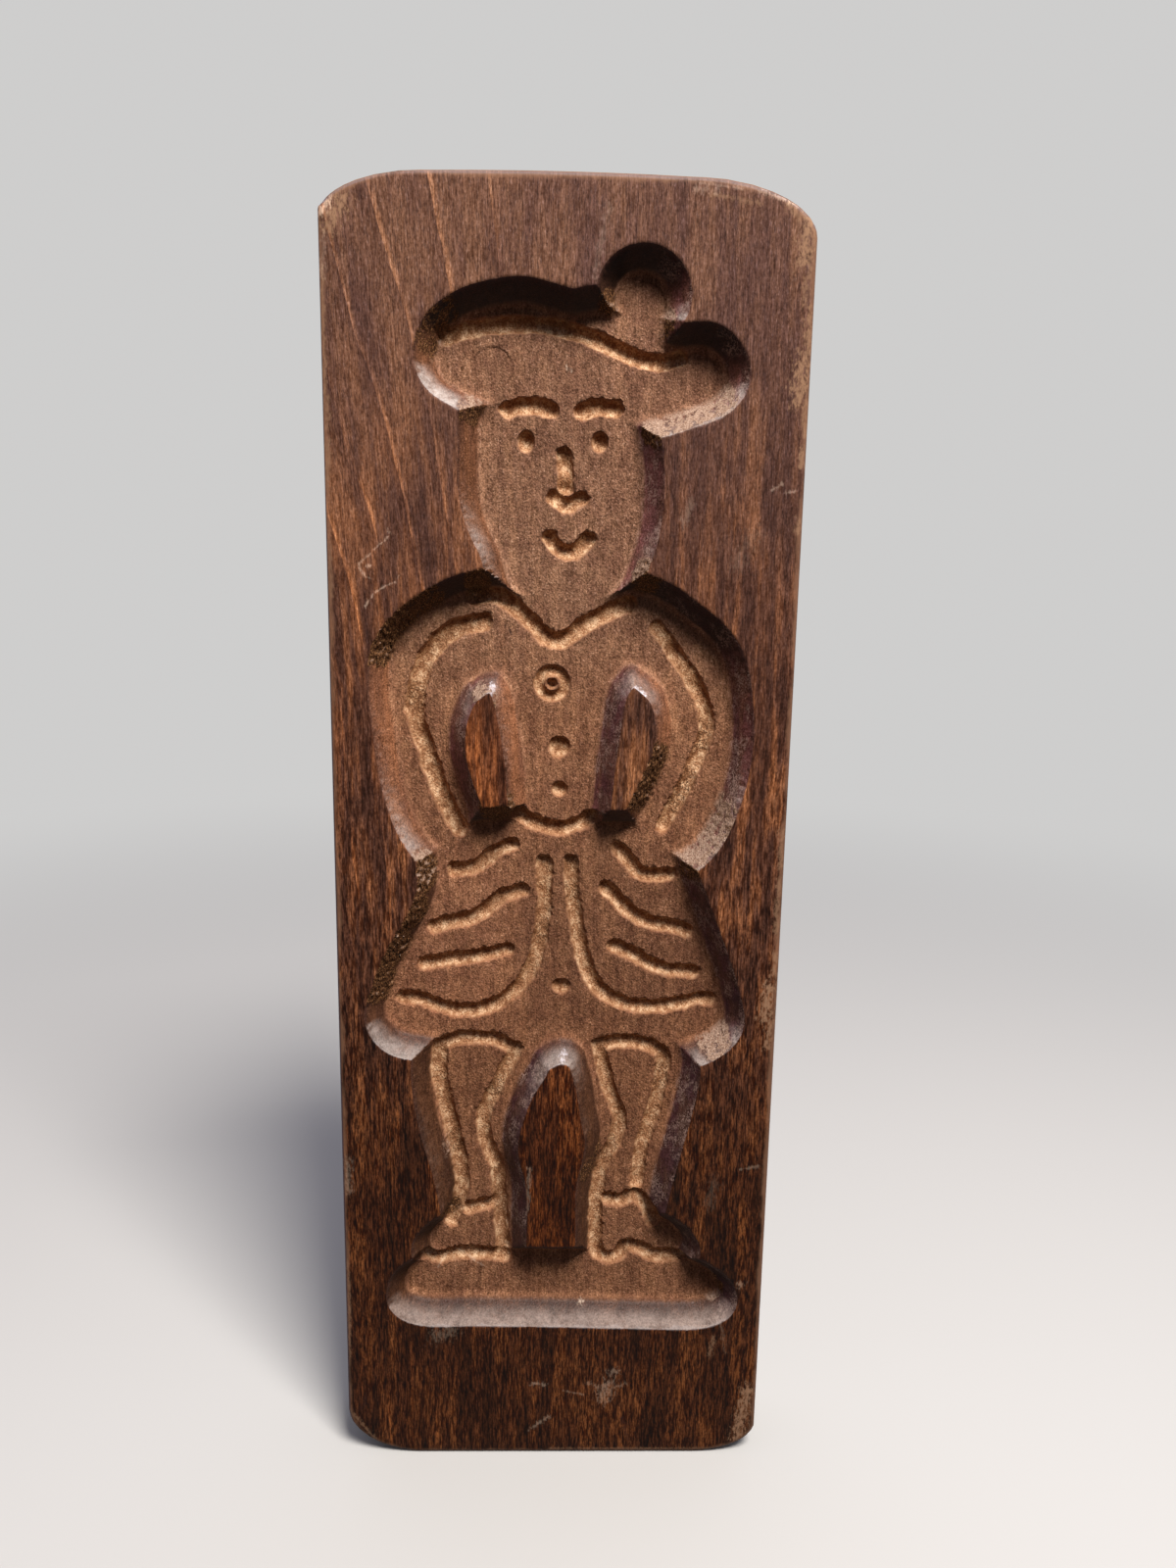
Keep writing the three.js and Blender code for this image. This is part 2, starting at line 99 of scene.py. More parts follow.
# The figure's parts at floor level. They overlap, and their walls cross where they meet.
floorOutlines = {
    "hat": [(-27, 258), (-25.5, 262.5), (-21, 266), (-15, 268), (-9, 268.7), (-4, 267.7), (1, 266.6),
            (6, 267.4), (13, 265), (22, 260.8), (29, 260.8), (32.2, 258.2), (33.2, 254.5), (31, 251.3),
            (25, 248.8), (17, 246.5), (0, 246), (-17, 250), (-22, 252), (-25.8, 254.5)],
    "head": [(-17.6, 246), (-18, 240), (-18, 232), (-16.6, 225.5), (-13.8, 219.5), (-10.5, 211), (0, 205),
             (10.5, 211), (14.3, 219), (15.8, 225.5), (16.2, 232), (15.6, 240), (13, 247), (0, 252),
             (-13, 250.5)],
    "chest": [(-18, 209.5), (0, 208), (18, 209.3), (20, 202), (14, 196), (9.8, 190), (8.4, 182), (7.2, 172),
              (6.4, 163), (5, 156), (-5, 156), (-7.2, 163), (-8, 173), (-9.6, 183), (-11.4, 190),
              (-16, 196), (-20, 202)],
    "leftArm": [(-13, 210.5), (-20, 210), (-27, 206.8), (-33, 202.3), (-36.6, 197.5), (-37.6, 190),
                (-36.6, 180), (-34.8, 168), (-31.6, 158.5), (-27, 153), (-22.5, 154.5), (-21, 160),
                (-23.5, 167.5), (-25.3, 175), (-24.9, 183), (-21.6, 190.2), (-14, 196), (-8, 202)],
    "rightArm": [(14, 210.5), (20.5, 208.8), (26.5, 204.8), (32, 200.4), (35.2, 195), (37, 186),
                 (37.2, 176), (35.3, 166), (31.5, 157), (26.5, 152.5), (20, 153.5), (17.5, 158.5),
                 (20.5, 166.5), (23.9, 175), (24.6, 183), (22.4, 190), (15.5, 196), (9, 202)],
    "skirt": [(-13, 159.5), (-21, 158), (-27, 152.5), (-27.5, 144), (-30, 137), (-34.5, 129), (-38.2, 120),
              (-39.6, 113.5), (-37, 109.6), (-31, 108), (-20, 106.5), (-10, 106), (1, 108.8), (12, 106),
              (20, 106), (29, 106.5), (35, 109), (38.2, 113), (37, 120), (34, 129), (30.5, 138), (27, 147),
              (24.5, 154), (18, 158.5), (9.5, 159), (0, 160)],
    "leftLeg": [(-26, 110), (-29, 104), (-29, 96), (-27, 85), (-24.6, 76), (-22.8, 66), (-21.5, 57),
                (-17, 52), (-12, 55), (-11.2, 63), (-11.5, 72), (-13.2, 79), (-13.2, 84.5), (-12, 90),
                (-9.5, 97), (-6.2, 103), (-5, 108), (-12, 112)],
    "rightLeg": [(26, 109), (28.6, 103), (27.2, 92), (25, 82), (22.8, 72), (21, 62), (19.5, 55), (15, 52),
                 (10, 55), (9.2, 63), (9.2, 72), (10.6, 79), (11, 84.5), (9.9, 90), (8.8, 97), (7.4, 103),
                 (7, 108), (14, 112)],
    "leftFoot": [(-12, 59), (-19, 61.8), (-24, 61.2), (-28, 58.6), (-29.8, 55.2), (-28, 52), (-21, 50),
                 (-12, 50.5)],
    "rightFoot": [(10, 59), (18, 61.8), (24, 61.4), (28.4, 58.6), (30.4, 55), (28.5, 52), (21, 50),
                  (10, 50.5)],
    "ground": [(-35.4, 45.8), (-33, 48.6), (-24, 51), (-12, 52), (0, 52), (12, 52), (26, 51), (34.5, 48.5),
               (39.2, 44.5), (39.6, 41.2), (36, 39.2), (18, 39), (0, 39.4), (-18, 39.6), (-32.5, 39.9),
               (-35.6, 42)],
    "plumeFoot": [(8.5, 266), (11.5, 268), (15.5, 269), (19, 267.5), (19.3, 264.5), (19.3, 261), (16, 259),
                  (10, 261)],

    # The wood left between body and arms, and between the legs, has round heads.
    "leftHead": [(-22.5, 191.4), (-20.4, 191.2), (-19, 192.3), (-17.3, 193), (-15.3, 193.3), (-13.4, 192.9),
                 (-12, 191.7), (-9.6, 191.4), (-9, 196), (-15, 199), (-21.5, 196)],
    "rightHead": [(9, 193.2), (11.2, 193.4), (12.4, 194.7), (13.8, 195.3), (15.6, 195.4), (17.4, 194.9),
                  (19.2, 194), (20.5, 196), (17, 200.5), (12, 200.5), (9, 197)],
    "legHeadLeft": [(-11, 101), (-8.4, 101.2), (-6.8, 103.4), (-4.5, 105.4), (-1.8, 107), (0.6, 108),
                    (0, 110.5), (-5, 110.5), (-10.5, 107)],
    "legHeadRight": [(0.6, 108), (3.6, 107.2), (5.8, 105.6), (7, 103.6), (8, 101.4), (11, 101.4), (11, 107),
                     (5, 110.5), (1, 110.5)],
}
plume = {"centre": (15.3, 270.3), "radius": 5.3}

grooves = {
    "brim": [(-25, 262), (-19.5, 264), (-11, 265), (-3, 264.8), (5, 262.6), (13.5, 259.3), (19, 258),
             (23.5, 259)],
    "leftBrow": [(-12.4, 247.9), (-8.5, 249), (-5.5, 248.8), (-3.5, 248)],
    "rightBrow": [(3.4, 248.1), (6, 248.7), (10.3, 248.8)],
    "nose": [(-0.2, 238.8), (-0.2, 232.5)],
    "nostrils": [(-2.5, 230.2), (0.3, 228.7), (3.3, 230.2)],
    "mouth": [(-3.5, 221.8), (-1.5, 219.6), (0.8, 218.8), (3, 219.6), (4.9, 221.5)],
    "collar": [(-19.5, 209), (-15.5, 209.4), (-12, 208), (-7, 203.6), (-3.5, 200.6), (-1, 199.8),
               (1.5, 201), (5, 203.6), (9.5, 206), (14, 208)],
    "leftSleeve": [(-17.5, 203.5), (-23.5, 202), (-29.5, 196.2), (-32.2, 189), (-32.8, 184), (-30, 174.5),
                   (-27, 165.5), (-22.8, 157.3)],
    "rightSleeve": [(20.5, 203), (24.5, 197.5), (29, 191), (31.6, 185.5), (32, 180), (29.5, 172),
                    (26, 164.3), (23, 158.5)],
    "belt": [(-9, 160.8), (-5.5, 158.6), (-0.5, 157.6), (4, 158.6), (7, 160.3)],
    "leftFoldA": [(-24, 147.8), (-20, 148), (-17.5, 149.6), (-14, 152.3), (-11, 153.8)],
    "leftFoldB": [(-28.5, 134), (-24.5, 135.4), (-20.5, 136), (-17, 138), (-12.5, 141.8), (-8.5, 142.8)],
    "leftFoldC": [(-31, 125), (-25, 126.2), (-19, 127), (-12, 128.6)],
    "leftCoat": [(-36, 116.6), (-32.5, 116.6), (-27, 114.5), (-21, 113.6), (-15.5, 114.8), (-11, 118),
                 (-7, 123), (-4.8, 130), (-3.6, 139), (-3.6, 149.6)],
    "rightFoldA": [(12.9, 153.1), (15.2, 150.7), (17.6, 147.9), (20, 146.9), (24.6, 147)],
    "rightFoldB": [(10.5, 143.6), (13.6, 140.6), (17.5, 137), (21, 135.4), (25, 134.9), (29, 133.6)],
    "rightFoldC": [(12.8, 129.8), (17, 127.8), (22.5, 124.9), (27, 123.8), (31, 123.6)],
    "rightCoat": [(2.4, 149.6), (2.6, 144), (3.7, 136), (5, 129), (7.2, 122.4), (11, 117.8), (16, 115.4),
                  (22, 114.9), (28, 115.8), (32, 117), (35, 117)],
    "leftHem": [(-27.5, 105.2), (-22, 106.8), (-15, 106.6), (-10, 104)],
    "leftInseam": [(-10.3, 103), (-14, 95), (-17.4, 87.5), (-17, 81), (-14.2, 74), (-13.5, 65),
                   (-12.6, 52.5)],
    "leftShin": [(-27.5, 104.5), (-28, 99), (-26.5, 91), (-24, 80), (-22.5, 71), (-23.2, 65), (-25, 59.5)],
    "leftAnkle": [(-20.8, 62.7), (-14.2, 64.6)],
    "leftSole": [(-31, 51), (-28.5, 49.7), (-24, 50.6), (-19, 50.8), (-12.5, 50)],
    "rightHem": [(9.5, 105.2), (15, 106.2), (21, 105.5), (24.8, 103.5)],
    "rightInseam": [(9.6, 104.5), (12, 95), (14.8, 87), (14.2, 81.5), (11, 74.5), (10, 68), (9.7, 57),
                    (10.4, 51.3), (13.5, 49.5)],
    "rightShin": [(25, 103), (24.5, 96.5), (22.8, 88), (20.6, 80), (19.5, 70)],
    "rightAnkle": [(12.7, 65.6), (15.5, 65), (19.3, 66.6), (22, 63.5), (23.5, 59.7)],
    "rightSole": [(13.5, 49.6), (16, 50.6), (17.3, 52.8), (21, 51.8), (25, 50.3), (30, 50.4)],
}

wider = {"leftSleeve": 0.7, "collar": 0.3, "leftShin": 0.2, "leftSole": 0.3, "rightSole": 0.2}      # by so much

# where the grooves are shallower: x, z, radius, by what share
shallow = [(21.5, 202, 6, 0.5), (27.5, 193.5, 5, 0.35), (-23, 263, 6, 0.45), (-0.2, 234.2, 2.2, 0.45)]

pits = [          # the eyes and the small buttons: x, z, half width, half height, depth
    (-8.5, 241.6, 1.9, 2.4, 2.0),
    (7.1, 241.8, 1.9, 2.3, 2.0),
    (-0.6, 176.2, 2.5, 2.6, 1.5),
    (-0.4, 166.6, 1.9, 1.9, 1.5),
    (0.5, 119.8, 2.3, 2.0, 1.3),
]
topButton = {"centre": (-2.4, 190.4), "radius": 2.9, "grooveWidth": 2.6, "grooveDepth": 1.1, "pit": 1.25,
             "pitDepth": 2.0}
plungeRings = [(-15.6, 256.4, 4.2), (15.8, 269.4, 4.4), (27.0, 255.6, 4.6)]      # x, z, radius

# Where the cutter tore the wood across the grain: x, z, radius, how deep
tornPlaces = [
    (-31.5, 148.0, 5.0, 0.8), (-34.5, 140.0, 5.5, 1.0), (-38.0, 131.0, 5.5, 1.0), (-41.0, 121.5, 5.0, 0.7),
    (-39.5, 199.0, 5.0, 0.9), (-36.0, 203.5, 6.0, 0.65), (-29.5, 208.0, 5.0, 0.4), (-18.5, 212.0, 3.5, 0.7),
    (9.0, 268.5, 3.5, 0.45), (19.5, 266.0, 3.5, 0.4), (-14.0, 163.5, 5.0, 0.6),
    (20.5, 174.0, 4.5, 0.7), (18.0, 167.5, 5.5, 0.9), (30.5, 179.0, 4.0, 0.5), (27.5, 168.0, 4.5, 0.6),
    (34.0, 160.0, 7.5, 0.36), (29.0, 153.0, 6.5, 0.36), (30.5, 249.5, 6.5, 0.36), (24.5, 247.2, 5.0, 0.36),
    (18.5, 244.0, 3.5, 0.5),
    (17.5, 214.0, 4.0, 0.5), (-17.0, 187.5, 3.5, 0.4), (36.0, 109.0, 5.0, 0.4), (38.5, 42.5, 3.5, 0.4),
    (-25.0, 63.0, 3.0, 0.3), (8.0, 75.0, 3.5, 0.3), (26.0, 164.0, 3.5, 0.4), (-14.5, 94.5, 4.0, 0.3),
    (12.0, 79.0, 4.0, 0.3), (24.0, 97.0, 4.0, 0.3), (-24.0, 80.0, 4.0, 0.25), (2.6, 143.0, 3.5, 0.25),
    (-4.0, 133.0, 4.0, 0.25), (-32.5, 187.0, 4.0, 0.25), (-27.5, 264.0, 7.5, 0.22), (-20.0, 247.5, 3.5, 0.3),
]


def smoothMax(a, b, softness):
    share = np.clip(0.5 + 0.5 * (a - b) / softness, 0, 1)
    return b + (a - b) * share + softness * share * (1 - share)


def smoothStep(value, start, end):
    share = np.clip((value - start) / (end - start), 0, 1)
    return share * share * (3 - 2 * share)


def noiseAt(points, size, seed):      # between about -1 and 1, over patches of that size
    return np.array([noise.noise(Vector((x / size, z / size, seed))) for x, z in points])


def curveThrough(points, closed, steps=8):      # a smooth line through a few points
    knots = np.array(points, float)
    if closed:
        knots = np.vstack([knots[-1:], knots, knots[:2]])
    else:
        knots = np.vstack([2 * knots[0] - knots[1], knots, 2 * knots[-1] - knots[-2]])
    a, b, c, d = knots[:-3], knots[1:-2], knots[2:-1], knots[3:]
    before, span, after = (np.sqrt(np.linalg.norm(v - u, axis=1))[:, None] for u, v in ((a, b), (b, c), (c, d)))
    leave = ((b - a) / before - (c - a) / (before + span) + (c - b) / span) * span
    arrive = ((c - b) / span - (d - b) / (span + after) + (d - c) / after) * span
    t = (np.arange(steps) / steps)[:, None, None]
    line = (2 * t**3 - 3 * t**2 + 1) * b + (t**3 - 2 * t**2 + t) * leave
    line += (3 * t**2 - 2 * t**3) * c + (t**3 - t**2) * arrive
    line = line.transpose(1, 0, 2).reshape(-1, 2)
    return line if closed else np.vstack([line, knots[-2]])


def distanceTo(line, points, closed, inside=False):
    # from each point to the nearest place on the line; below zero inside a closed one where that is asked for
    ahead = np.roll(line, -1, axis=0)
    start, end = (line, ahead) if closed else (line[:-1], line[1:])
    along = end - start
    reach = 9.0      # points further off than this from the line's box count as far
    near = np.all((points > line.min(0) - reach) & (points < line.max(0) + reach), axis=1)
    result = np.full(len(points), far)
    index = np.flatnonzero(near)
    atOnce = 4000
    for group in np.array_split(index, len(index) // atOnce + 1):
        offset = points[group][:, None] - start
        share = np.clip((offset * along).sum(-1) / (along**2).sum(-1), 0, 1)
        gap = np.linalg.norm(offset - share[..., None] * along, axis=-1).min(1)
        if inside:
            px, pz = points[group][:, :1], points[group][:, 1:]
            rises = (start[:, 1] > pz) != (end[:, 1] > pz)
            crossing = start[:, 0] + (pz - start[:, 1]) * along[:, 0] / np.where(along[:, 1] == 0, 1e-9, along[:, 1])
            gap = np.where((rises & (px < crossing)).sum(1) % 2 == 1, -gap, gap)
        result[group] = gap
    return result


outlineCurves = [curveThrough(points, True) for points in floorOutlines.values()]
grooveCurves = {name: curveThrough(points, False) for name, points in grooves.items()}


def awayFrom(points, x, z, width=1.0, height=1.0):      # counted in that width and height
    return np.hypot((points[:, 0] - x) / width, (points[:, 1] - z) / height)


def wallDistance(points):      # from the foot of the wall: above zero up the wall, below zero on the floor
    best = np.linalg.norm(points - np.array(plume["centre"]), axis=1) - plume["radius"]
    for curve in outlineCurves:
        best = np.minimum(best, distanceTo(curve, points, True, inside=True))
    return best


def strayed(points):      # where a point was on the pattern before the tool wandered
    size, reach = grooveCut["wanderSize"], grooveCut["wander"] * 2
    dx = noiseAt(points, size, 1.7) * reach
    dz = noiseAt(points, size, 5.3) * reach
    return points + np.column_stack([dx, dz])


def grooveDistance(points):      # from the edge of the nearest groove, below zero inside it
    best = np.full(len(points), far)
    for name, curve in grooveCurves.items():
        best = np.minimum(best, distanceTo(curve, points, False) - wider.get(name, 0) / 2)
    return best - grooveCut["width"] / 2


def pitShare(points):      # how far out in its pit a point lies: 1 on the edge
    best = np.full(len(points), far)
    for pit in pits:
        best = np.minimum(best, awayFrom(points, *pit[:4]))
    return best


def pitDepth(points):      # how far each pit goes below the floor
    best = np.zeros(len(points))
    for *oval, depth in pits:
        best = np.maximum(best, depth * np.sqrt(np.maximum(1 - awayFrom(points, *oval)**2, 0)))
    return best


def tornAt(points):
    best = np.zeros(len(points))
    for x, z, radius, strength in tornPlaces:
        away = np.hypot(points[:, 0] - x, (points[:, 1] - z) * 0.8)
        best = np.maximum(best, strength * (1 - smoothStep(away, radius * 0.45, radius)))
    return best


def toolDepth(away, wide, deep):      # how deep a round tool reaches at that distance from its line
    radius = (wide**2 / 4 + deep**2) / (2 * deep)
    ball = deep - radius + np.sqrt(np.maximum(radius**2 - away**2, 0))
    return pocket["depth"] + ball - grooveCut["draft"] * np.maximum(away - radius, 0)


def toolPressure(points):      # how much deeper or shallower the grooves are at each place
    press = 1 + grooveCut["pressure"] * noiseAt(points, 5.0, 30.5)
    for x, z, radius, less in shallow:
        press -= less * (1 - smoothStep(awayFrom(points, x, z), radius * 0.3, radius))
    return press


def cutDepth(points, wall, groove, torn):      # how far the carved surface lies behind the face
    deep = pocket["depth"]
    slope = deep - wall * deep / pocket["wallRun"]
    floor = np.full(len(points), deep)
    depth = -smoothMax(-slope, -floor, pocket["cove"])
    depth = smoothMax(depth, np.zeros(len(points)), pocket["rimSoftness"])
    onFloor = smoothStep(-wall, -0.5, 1.0)
    depth += onFloor * pocket["floorWave"] * noiseAt(points, 7.0, 9.1)
    for x, z, radius in plungeRings:
        depth += np.where(awayFrom(points, x, z) < radius, onFloor * pocket["ringStep"], 0)
    cut = toolDepth(np.maximum(groove + grooveCut["width"] / 2, 0), grooveCut["width"], grooveCut["depth"])
    cut = deep + (cut - deep) * toolPressure(points)
    depth = smoothMax(depth, cut, grooveCut["softness"])
    depth = np.where(pitShare(points) < 1, np.maximum(depth, deep + pitDepth(points)), depth)
    fromButton = awayFrom(points, *topButton["centre"])
    ring = toolDepth(np.abs(fromButton - topButton["radius"]), topButton["grooveWidth"], topButton["grooveDepth"])
    depth = np.where(fromButton < 6, smoothMax(depth, ring, grooveCut["softness"]), depth)
    hole = deep + topButton["pitDepth"] * (1 - (fromButton / topButton["pit"]) ** 4)
    depth = np.where(fromButton < topButton["pit"], np.maximum(depth, hole), depth)
    carved = smoothStep(pocket["wallRun"] + 0.4 - wall, 0, 0.8)
    rough = np.array([noise.turbulence(Vector((x / 0.8, z / 1.3, 3.3)), 2, True) for x, z in points]) - 0.55
    rough = np.where(torn > 0, rough, 0)
    fibres = noiseAt(points, 0.7, 12.5) * np.where(groove < 0.3, grooveCut["fuzz"], 0.0)
    return np.maximum(depth + carved * (rough * torn * grooveCut["tear"] + fibres), 0)


def wantedCell(points):      # the size of square that the surface needs at each place
    finest, growth = boardShape["finest"], boardShape["growth"]
    wall = wallDistance(points)
    groove = grooveDistance(points)
    alongFoot = finest * 2
    wanted = alongFoot + growth * np.maximum(np.abs(wall) - 0.9, 0)
    for away in (np.abs(wall - pocket["wallRun"]) - 0.35, np.abs(groove) - 0.3, (pitShare(points) - 1.1) * 2,
                 awayFrom(points, *topButton["centre"]) - 4.5):
        wanted = np.minimum(wanted, finest + growth * np.maximum(away, 0))
    for x, z, radius in plungeRings:
        away = np.abs(awayFrom(points, x, z) - radius)
        wanted = np.minimum(wanted, np.where(wall < 0, finest + growth * np.maximum(away - 0.1, 0), far))
    onWall = (wall > -0.8) & (wall < pocket["wallRun"] + 0.6)
    return np.where(onWall & (tornAt(points) > 0.25), finest, wanted)


def pick(board, kind, chosen):      # selects those vertices, edges or polygons and nothing else
    kinds = ("vertices", "edges", "polygons")
    bpy.ops.object.mode_set(mode="OBJECT")
    for name in kinds:
        items = getattr(board.data, name)
        items.foreach_set("select", np.zeros(len(items), bool))
    getattr(board.data, kind).foreach_set("select", chosen)
    bpy.context.tool_settings.mesh_select_mode = [name == kind for name in kinds]
    bpy.ops.object.mode_set(mode="EDIT")


def placesOf(board):      # the vertices, in mm
    places = np.empty(len(board.data.vertices) * 3)
    board.data.vertices.foreach_get("co", places)
    return places.reshape(-1, 3) / mm


def moveTo(board, places):      # the same places back into the mesh
    board.data.vertices.foreach_set("co", (places * mm).ravel())


def frontPlaces(board):      # the vertices, which of them lie on the face, and those as (x, z)
    places = placesOf(board)
    front = np.flatnonzero(places[:, 1] < faceY + hair)
    return places, front, places[front][:, [0, 2]]


def edgeEnds(board):      # the two ends of every edge, in mm
    ends = np.empty(len(board.data.edges) * 2, int)
    board.data.edges.foreach_get("vertices", ends)
    return placesOf(board)[ends.reshape(-1, 2)]


def polygonPlaces(board):      # centre in mm, normal, and the side of a square of the same area
    count = len(board.data.polygons)
    centres, normals, areas = np.empty(count * 3), np.empty(count * 3), np.empty(count)
    board.data.polygons.foreach_get("center", centres)
    board.data.polygons.foreach_get("normal", normals)
    board.data.polygons.foreach_get("area", areas)
    return centres.reshape(-1, 3) / mm, normals.reshape(-1, 3), np.sqrt(areas) / mm


def cornerPlanes():      # the planes that are laid along each round corner: a place on it and the way out
    ends = {"bottomRight": (1, -1), "topRight": (1, 1), "topLeft": (-1, 1), "bottomLeft": (-1, -1)}
    planes = []
    for name, (side, end) in ends.items():
        along, up = boardShape[name]
        centre = Vector((side * (width / 2 - along), 0, up if end < 0 else length - boardShape["archRise"] - up))
        steps = boardShape["cornerSteps"]
        for i in range(steps) if side == end else reversed(range(steps)):
            angle = math.radians(90) * (i + 0.5) / steps
            outward = Vector((side * math.cos(angle), 0, end * math.sin(angle)))
            reach = Vector((outward.x * along**2, 0, outward.z * up**2)) / math.hypot(outward.x * along, outward.z * up)
            planes.append((centre + reach, outward))
    return planes


def borderDistance(points):      # from the outline of the board, seen from the front
    outline = [(place.x, place.z) for place, _ in cornerPlanes()]
    return -distanceTo(np.array(outline), points, True, inside=True)


def roundCorners(board):
    bpy.ops.object.mode_set(mode="EDIT")
    for place, outward in cornerPlanes():
        bpy.ops.mesh.select_all(action="SELECT")
        bpy.ops.mesh.bisect(plane_co=place * mm, plane_no=outward, use_fill=True, clear_outer=True)
    bpy.ops.object.mode_set(mode="OBJECT")
    ends = edgeEnds(board)
    flat = np.abs(ends[:, 0, 1] - ends[:, 1, 1]) < hair
    pick(board, "edges", flat & (np.abs(ends[:, 0, 1]) > thickness / 2 - hair))
    bpy.ops.mesh.bevel(offset=boardShape["edgeRounding"] * mm, segments=boardShape["edgeSteps"], affect="EDGES")
    bpy.ops.object.mode_set(mode="OBJECT")


def cutIntoSquares(board):
    bpy.ops.object.mode_set(mode="EDIT")
    cell = boardShape["cell"]
    across = np.arange(-19, 20) * cell
    up = np.arange(1, int(length / cell)) * cell + boardShape["firstCut"]
    for places, normal in ((across, (1, 0, 0)), (up, (0, 0, 1)), (boardShape["throughCuts"], (0, 1, 0))):
        for place in places:
            bpy.ops.mesh.select_all(action="SELECT")
            bpy.ops.mesh.bisect(plane_co=Vector(normal) * place * mm, plane_no=normal)
    bpy.ops.object.mode_set(mode="OBJECT")
    pick(board, "polygons", np.array([polygon.loop_total for polygon in board.data.polygons]) > 4)
    bpy.ops.mesh.quads_convert_to_tris(ngon_method="BEAUTY")
    bpy.ops.object.mode_set(mode="OBJECT")


def refineFace(board):
    size = boardShape["cell"]
    while size > boardShape["finest"] * 1.2:
        centres, _, sides = polygonPlaces(board)
        front = centres[:, 1] < faceY + hair
        chosen = front & (sides > size * 0.6)      # leaves out those that are small enough already
        wanted = wantedCell(centres[chosen][:, [0, 2]])
        chosen[chosen] = wanted < size * 0.77
        pick(board, "polygons", chosen)
        bpy.ops.mesh.subdivide(number_cuts=1, smoothness=0, ngon=False)
        bpy.ops.object.mode_set(mode="OBJECT")
        size /= 2


def drawOntoCreases(board):      # vertices beside a rim or a groove's edge are moved onto it
    places, front, flat = frontPlaces(board)
    for crease in (lambda p: wallDistance(p) - pocket["wallRun"], lambda p: grooveDistance(strayed(p))):
        away = crease(flat)
        close = np.flatnonzero(np.abs(away) < boardShape["finest"] * 0.48)
        step = 0.02
        dx = (crease(flat[close] + (step, 0)) - away[close]) / step
        dz = (crease(flat[close] + (0, step)) - away[close]) / step
        steepness = np.maximum(dx**2 + dz**2, 0.25)
        flat[close] -= np.column_stack([dx, dz]) * (away[close] / steepness)[:, None]
    places[front[:, None], [0, 2]] = flat
    moveTo(board, places)


def pressFigure(board):
    places, front, flat = frontPlaces(board)
    wall, groove, torn = wallDistance(flat), grooveDistance(strayed(flat)), tornAt(flat)
    nearWall = np.flatnonzero((wall > -1) & (wall < 6))
    teeth = noiseAt(flat[nearWall] * (1, 0.35), 0.45, 21.0) * (0.17 + np.clip(torn[nearWall] - 0.36, 0, 0.4))
    wall[nearWall] += teeth
    groove += noiseAt(flat * (1, 0.6), 0.75, 41.0) * grooveCut["ragged"]
    places[front, 1] = faceY + cutDepth(flat, wall, groove, torn)
    moveTo(board, places)
    fromButton = awayFrom(flat, *topButton["centre"])
    ring = np.abs(fromButton - topButton["radius"]) - topButton["grooveWidth"] / 2
    cut = np.minimum(np.minimum(groove, (pitShare(flat) - 1) * 2), np.minimum(ring, fromButton - topButton["pit"]))
    border = np.hypot(borderDistance(places[:, [0, 2]]), thickness / 2 - np.abs(places[:, 1]))
    for name, values, rest in (("wallDistance", wall, far), ("cutDistance", cut, far), ("tornGrain", torn, 0)):
        whole = np.full(len(places), float(rest))
        whole[front] = values
        board.data.attributes.new(name, "FLOAT", "POINT").data.foreach_set("value", whole)
    nearEdge = np.abs(places[:, 1]) > thickness / 2 - boardShape["edgeBand"]
    whole = np.where(nearEdge, border, far)
    board.data.attributes.new("edgeDistance", "FLOAT", "POINT").data.foreach_set("value", whole)


def bowTopEnd(board):
    places = placesOf(board)
    rise, start, end = boardShape["archRise"], boardShape["topLeft"][0], width - boardShape["topRight"][0]
    share = np.clip((places[:, 0] + width / 2 - start) / (end - start), 0, 1)
    places[:, 2] += 4 * rise * share * (1 - share) * smoothStep(places[:, 2], length - rise - 12, length - rise)
    moveTo(board, places)


def makeBoard():
    bpy.ops.object.select_all(action="DESELECT")
    height = length - boardShape["archRise"]
    bpy.ops.mesh.primitive_cube_add(size=1, location=(0, 0, height / 2 * mm))
    board = bpy.context.object
    board.name = "mouldBoard"
    board.scale = Vector((width, thickness, height)) * mm
    bpy.ops.object.transform_apply(location=True, rotation=True, scale=True)
    roundCorners(board)
    cutIntoSquares(board)
    bowTopEnd(board)
    refineFace(board)
    print("board cut into", len(board.data.polygons), "squares")
    drawOntoCreases(board)
    pressFigure(board)
    pick(board, "polygons", np.ones(len(board.data.polygons), bool))
    bpy.ops.mesh.remove_doubles(threshold=boardShape["closest"] * mm)
    bpy.ops.mesh.select_all(action="SELECT")
    bpy.ops.mesh.quads_convert_to_tris(quad_method="SHORTEST_DIAGONAL")
    bpy.ops.object.mode_set(mode="OBJECT")
    bpy.ops.object.shade_smooth_by_angle(angle=math.radians(boardShape["smoothBelow"]))
    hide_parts("mould_board")
    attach(board, "root")
    print("figure pressed into the board,", len(board.data.polygons), "triangles")
    return board


def feed(node, inputs):      # joins or sets the inputs of a node
    for name, value in inputs.items():
        if isinstance(value, bpy.types.NodeSocket):
            node.id_data.links.new(value, node.inputs[name])
        else:
            node.inputs[name].default_value = value


def put(tree, kind, inputs=None, **settings):      # adds a node and sets it up
    node = tree.nodes.new(kind)
    for name, value in settings.items():
        setattr(node, name, value)
    feed(node, inputs or {})
    return node


def wire(kind, inputs, **settings):      # adds a node to the tree that its inputs come from
    tree = next(value.id_data for value in inputs.values() if isinstance(value, bpy.types.NodeSocket))
    return put(tree, kind, inputs, **settings)


def calc(operation, *values, clamp=False):
    return wire("ShaderNodeMath", dict(enumerate(values)), operation=operation, use_clamp=clamp).outputs[0]


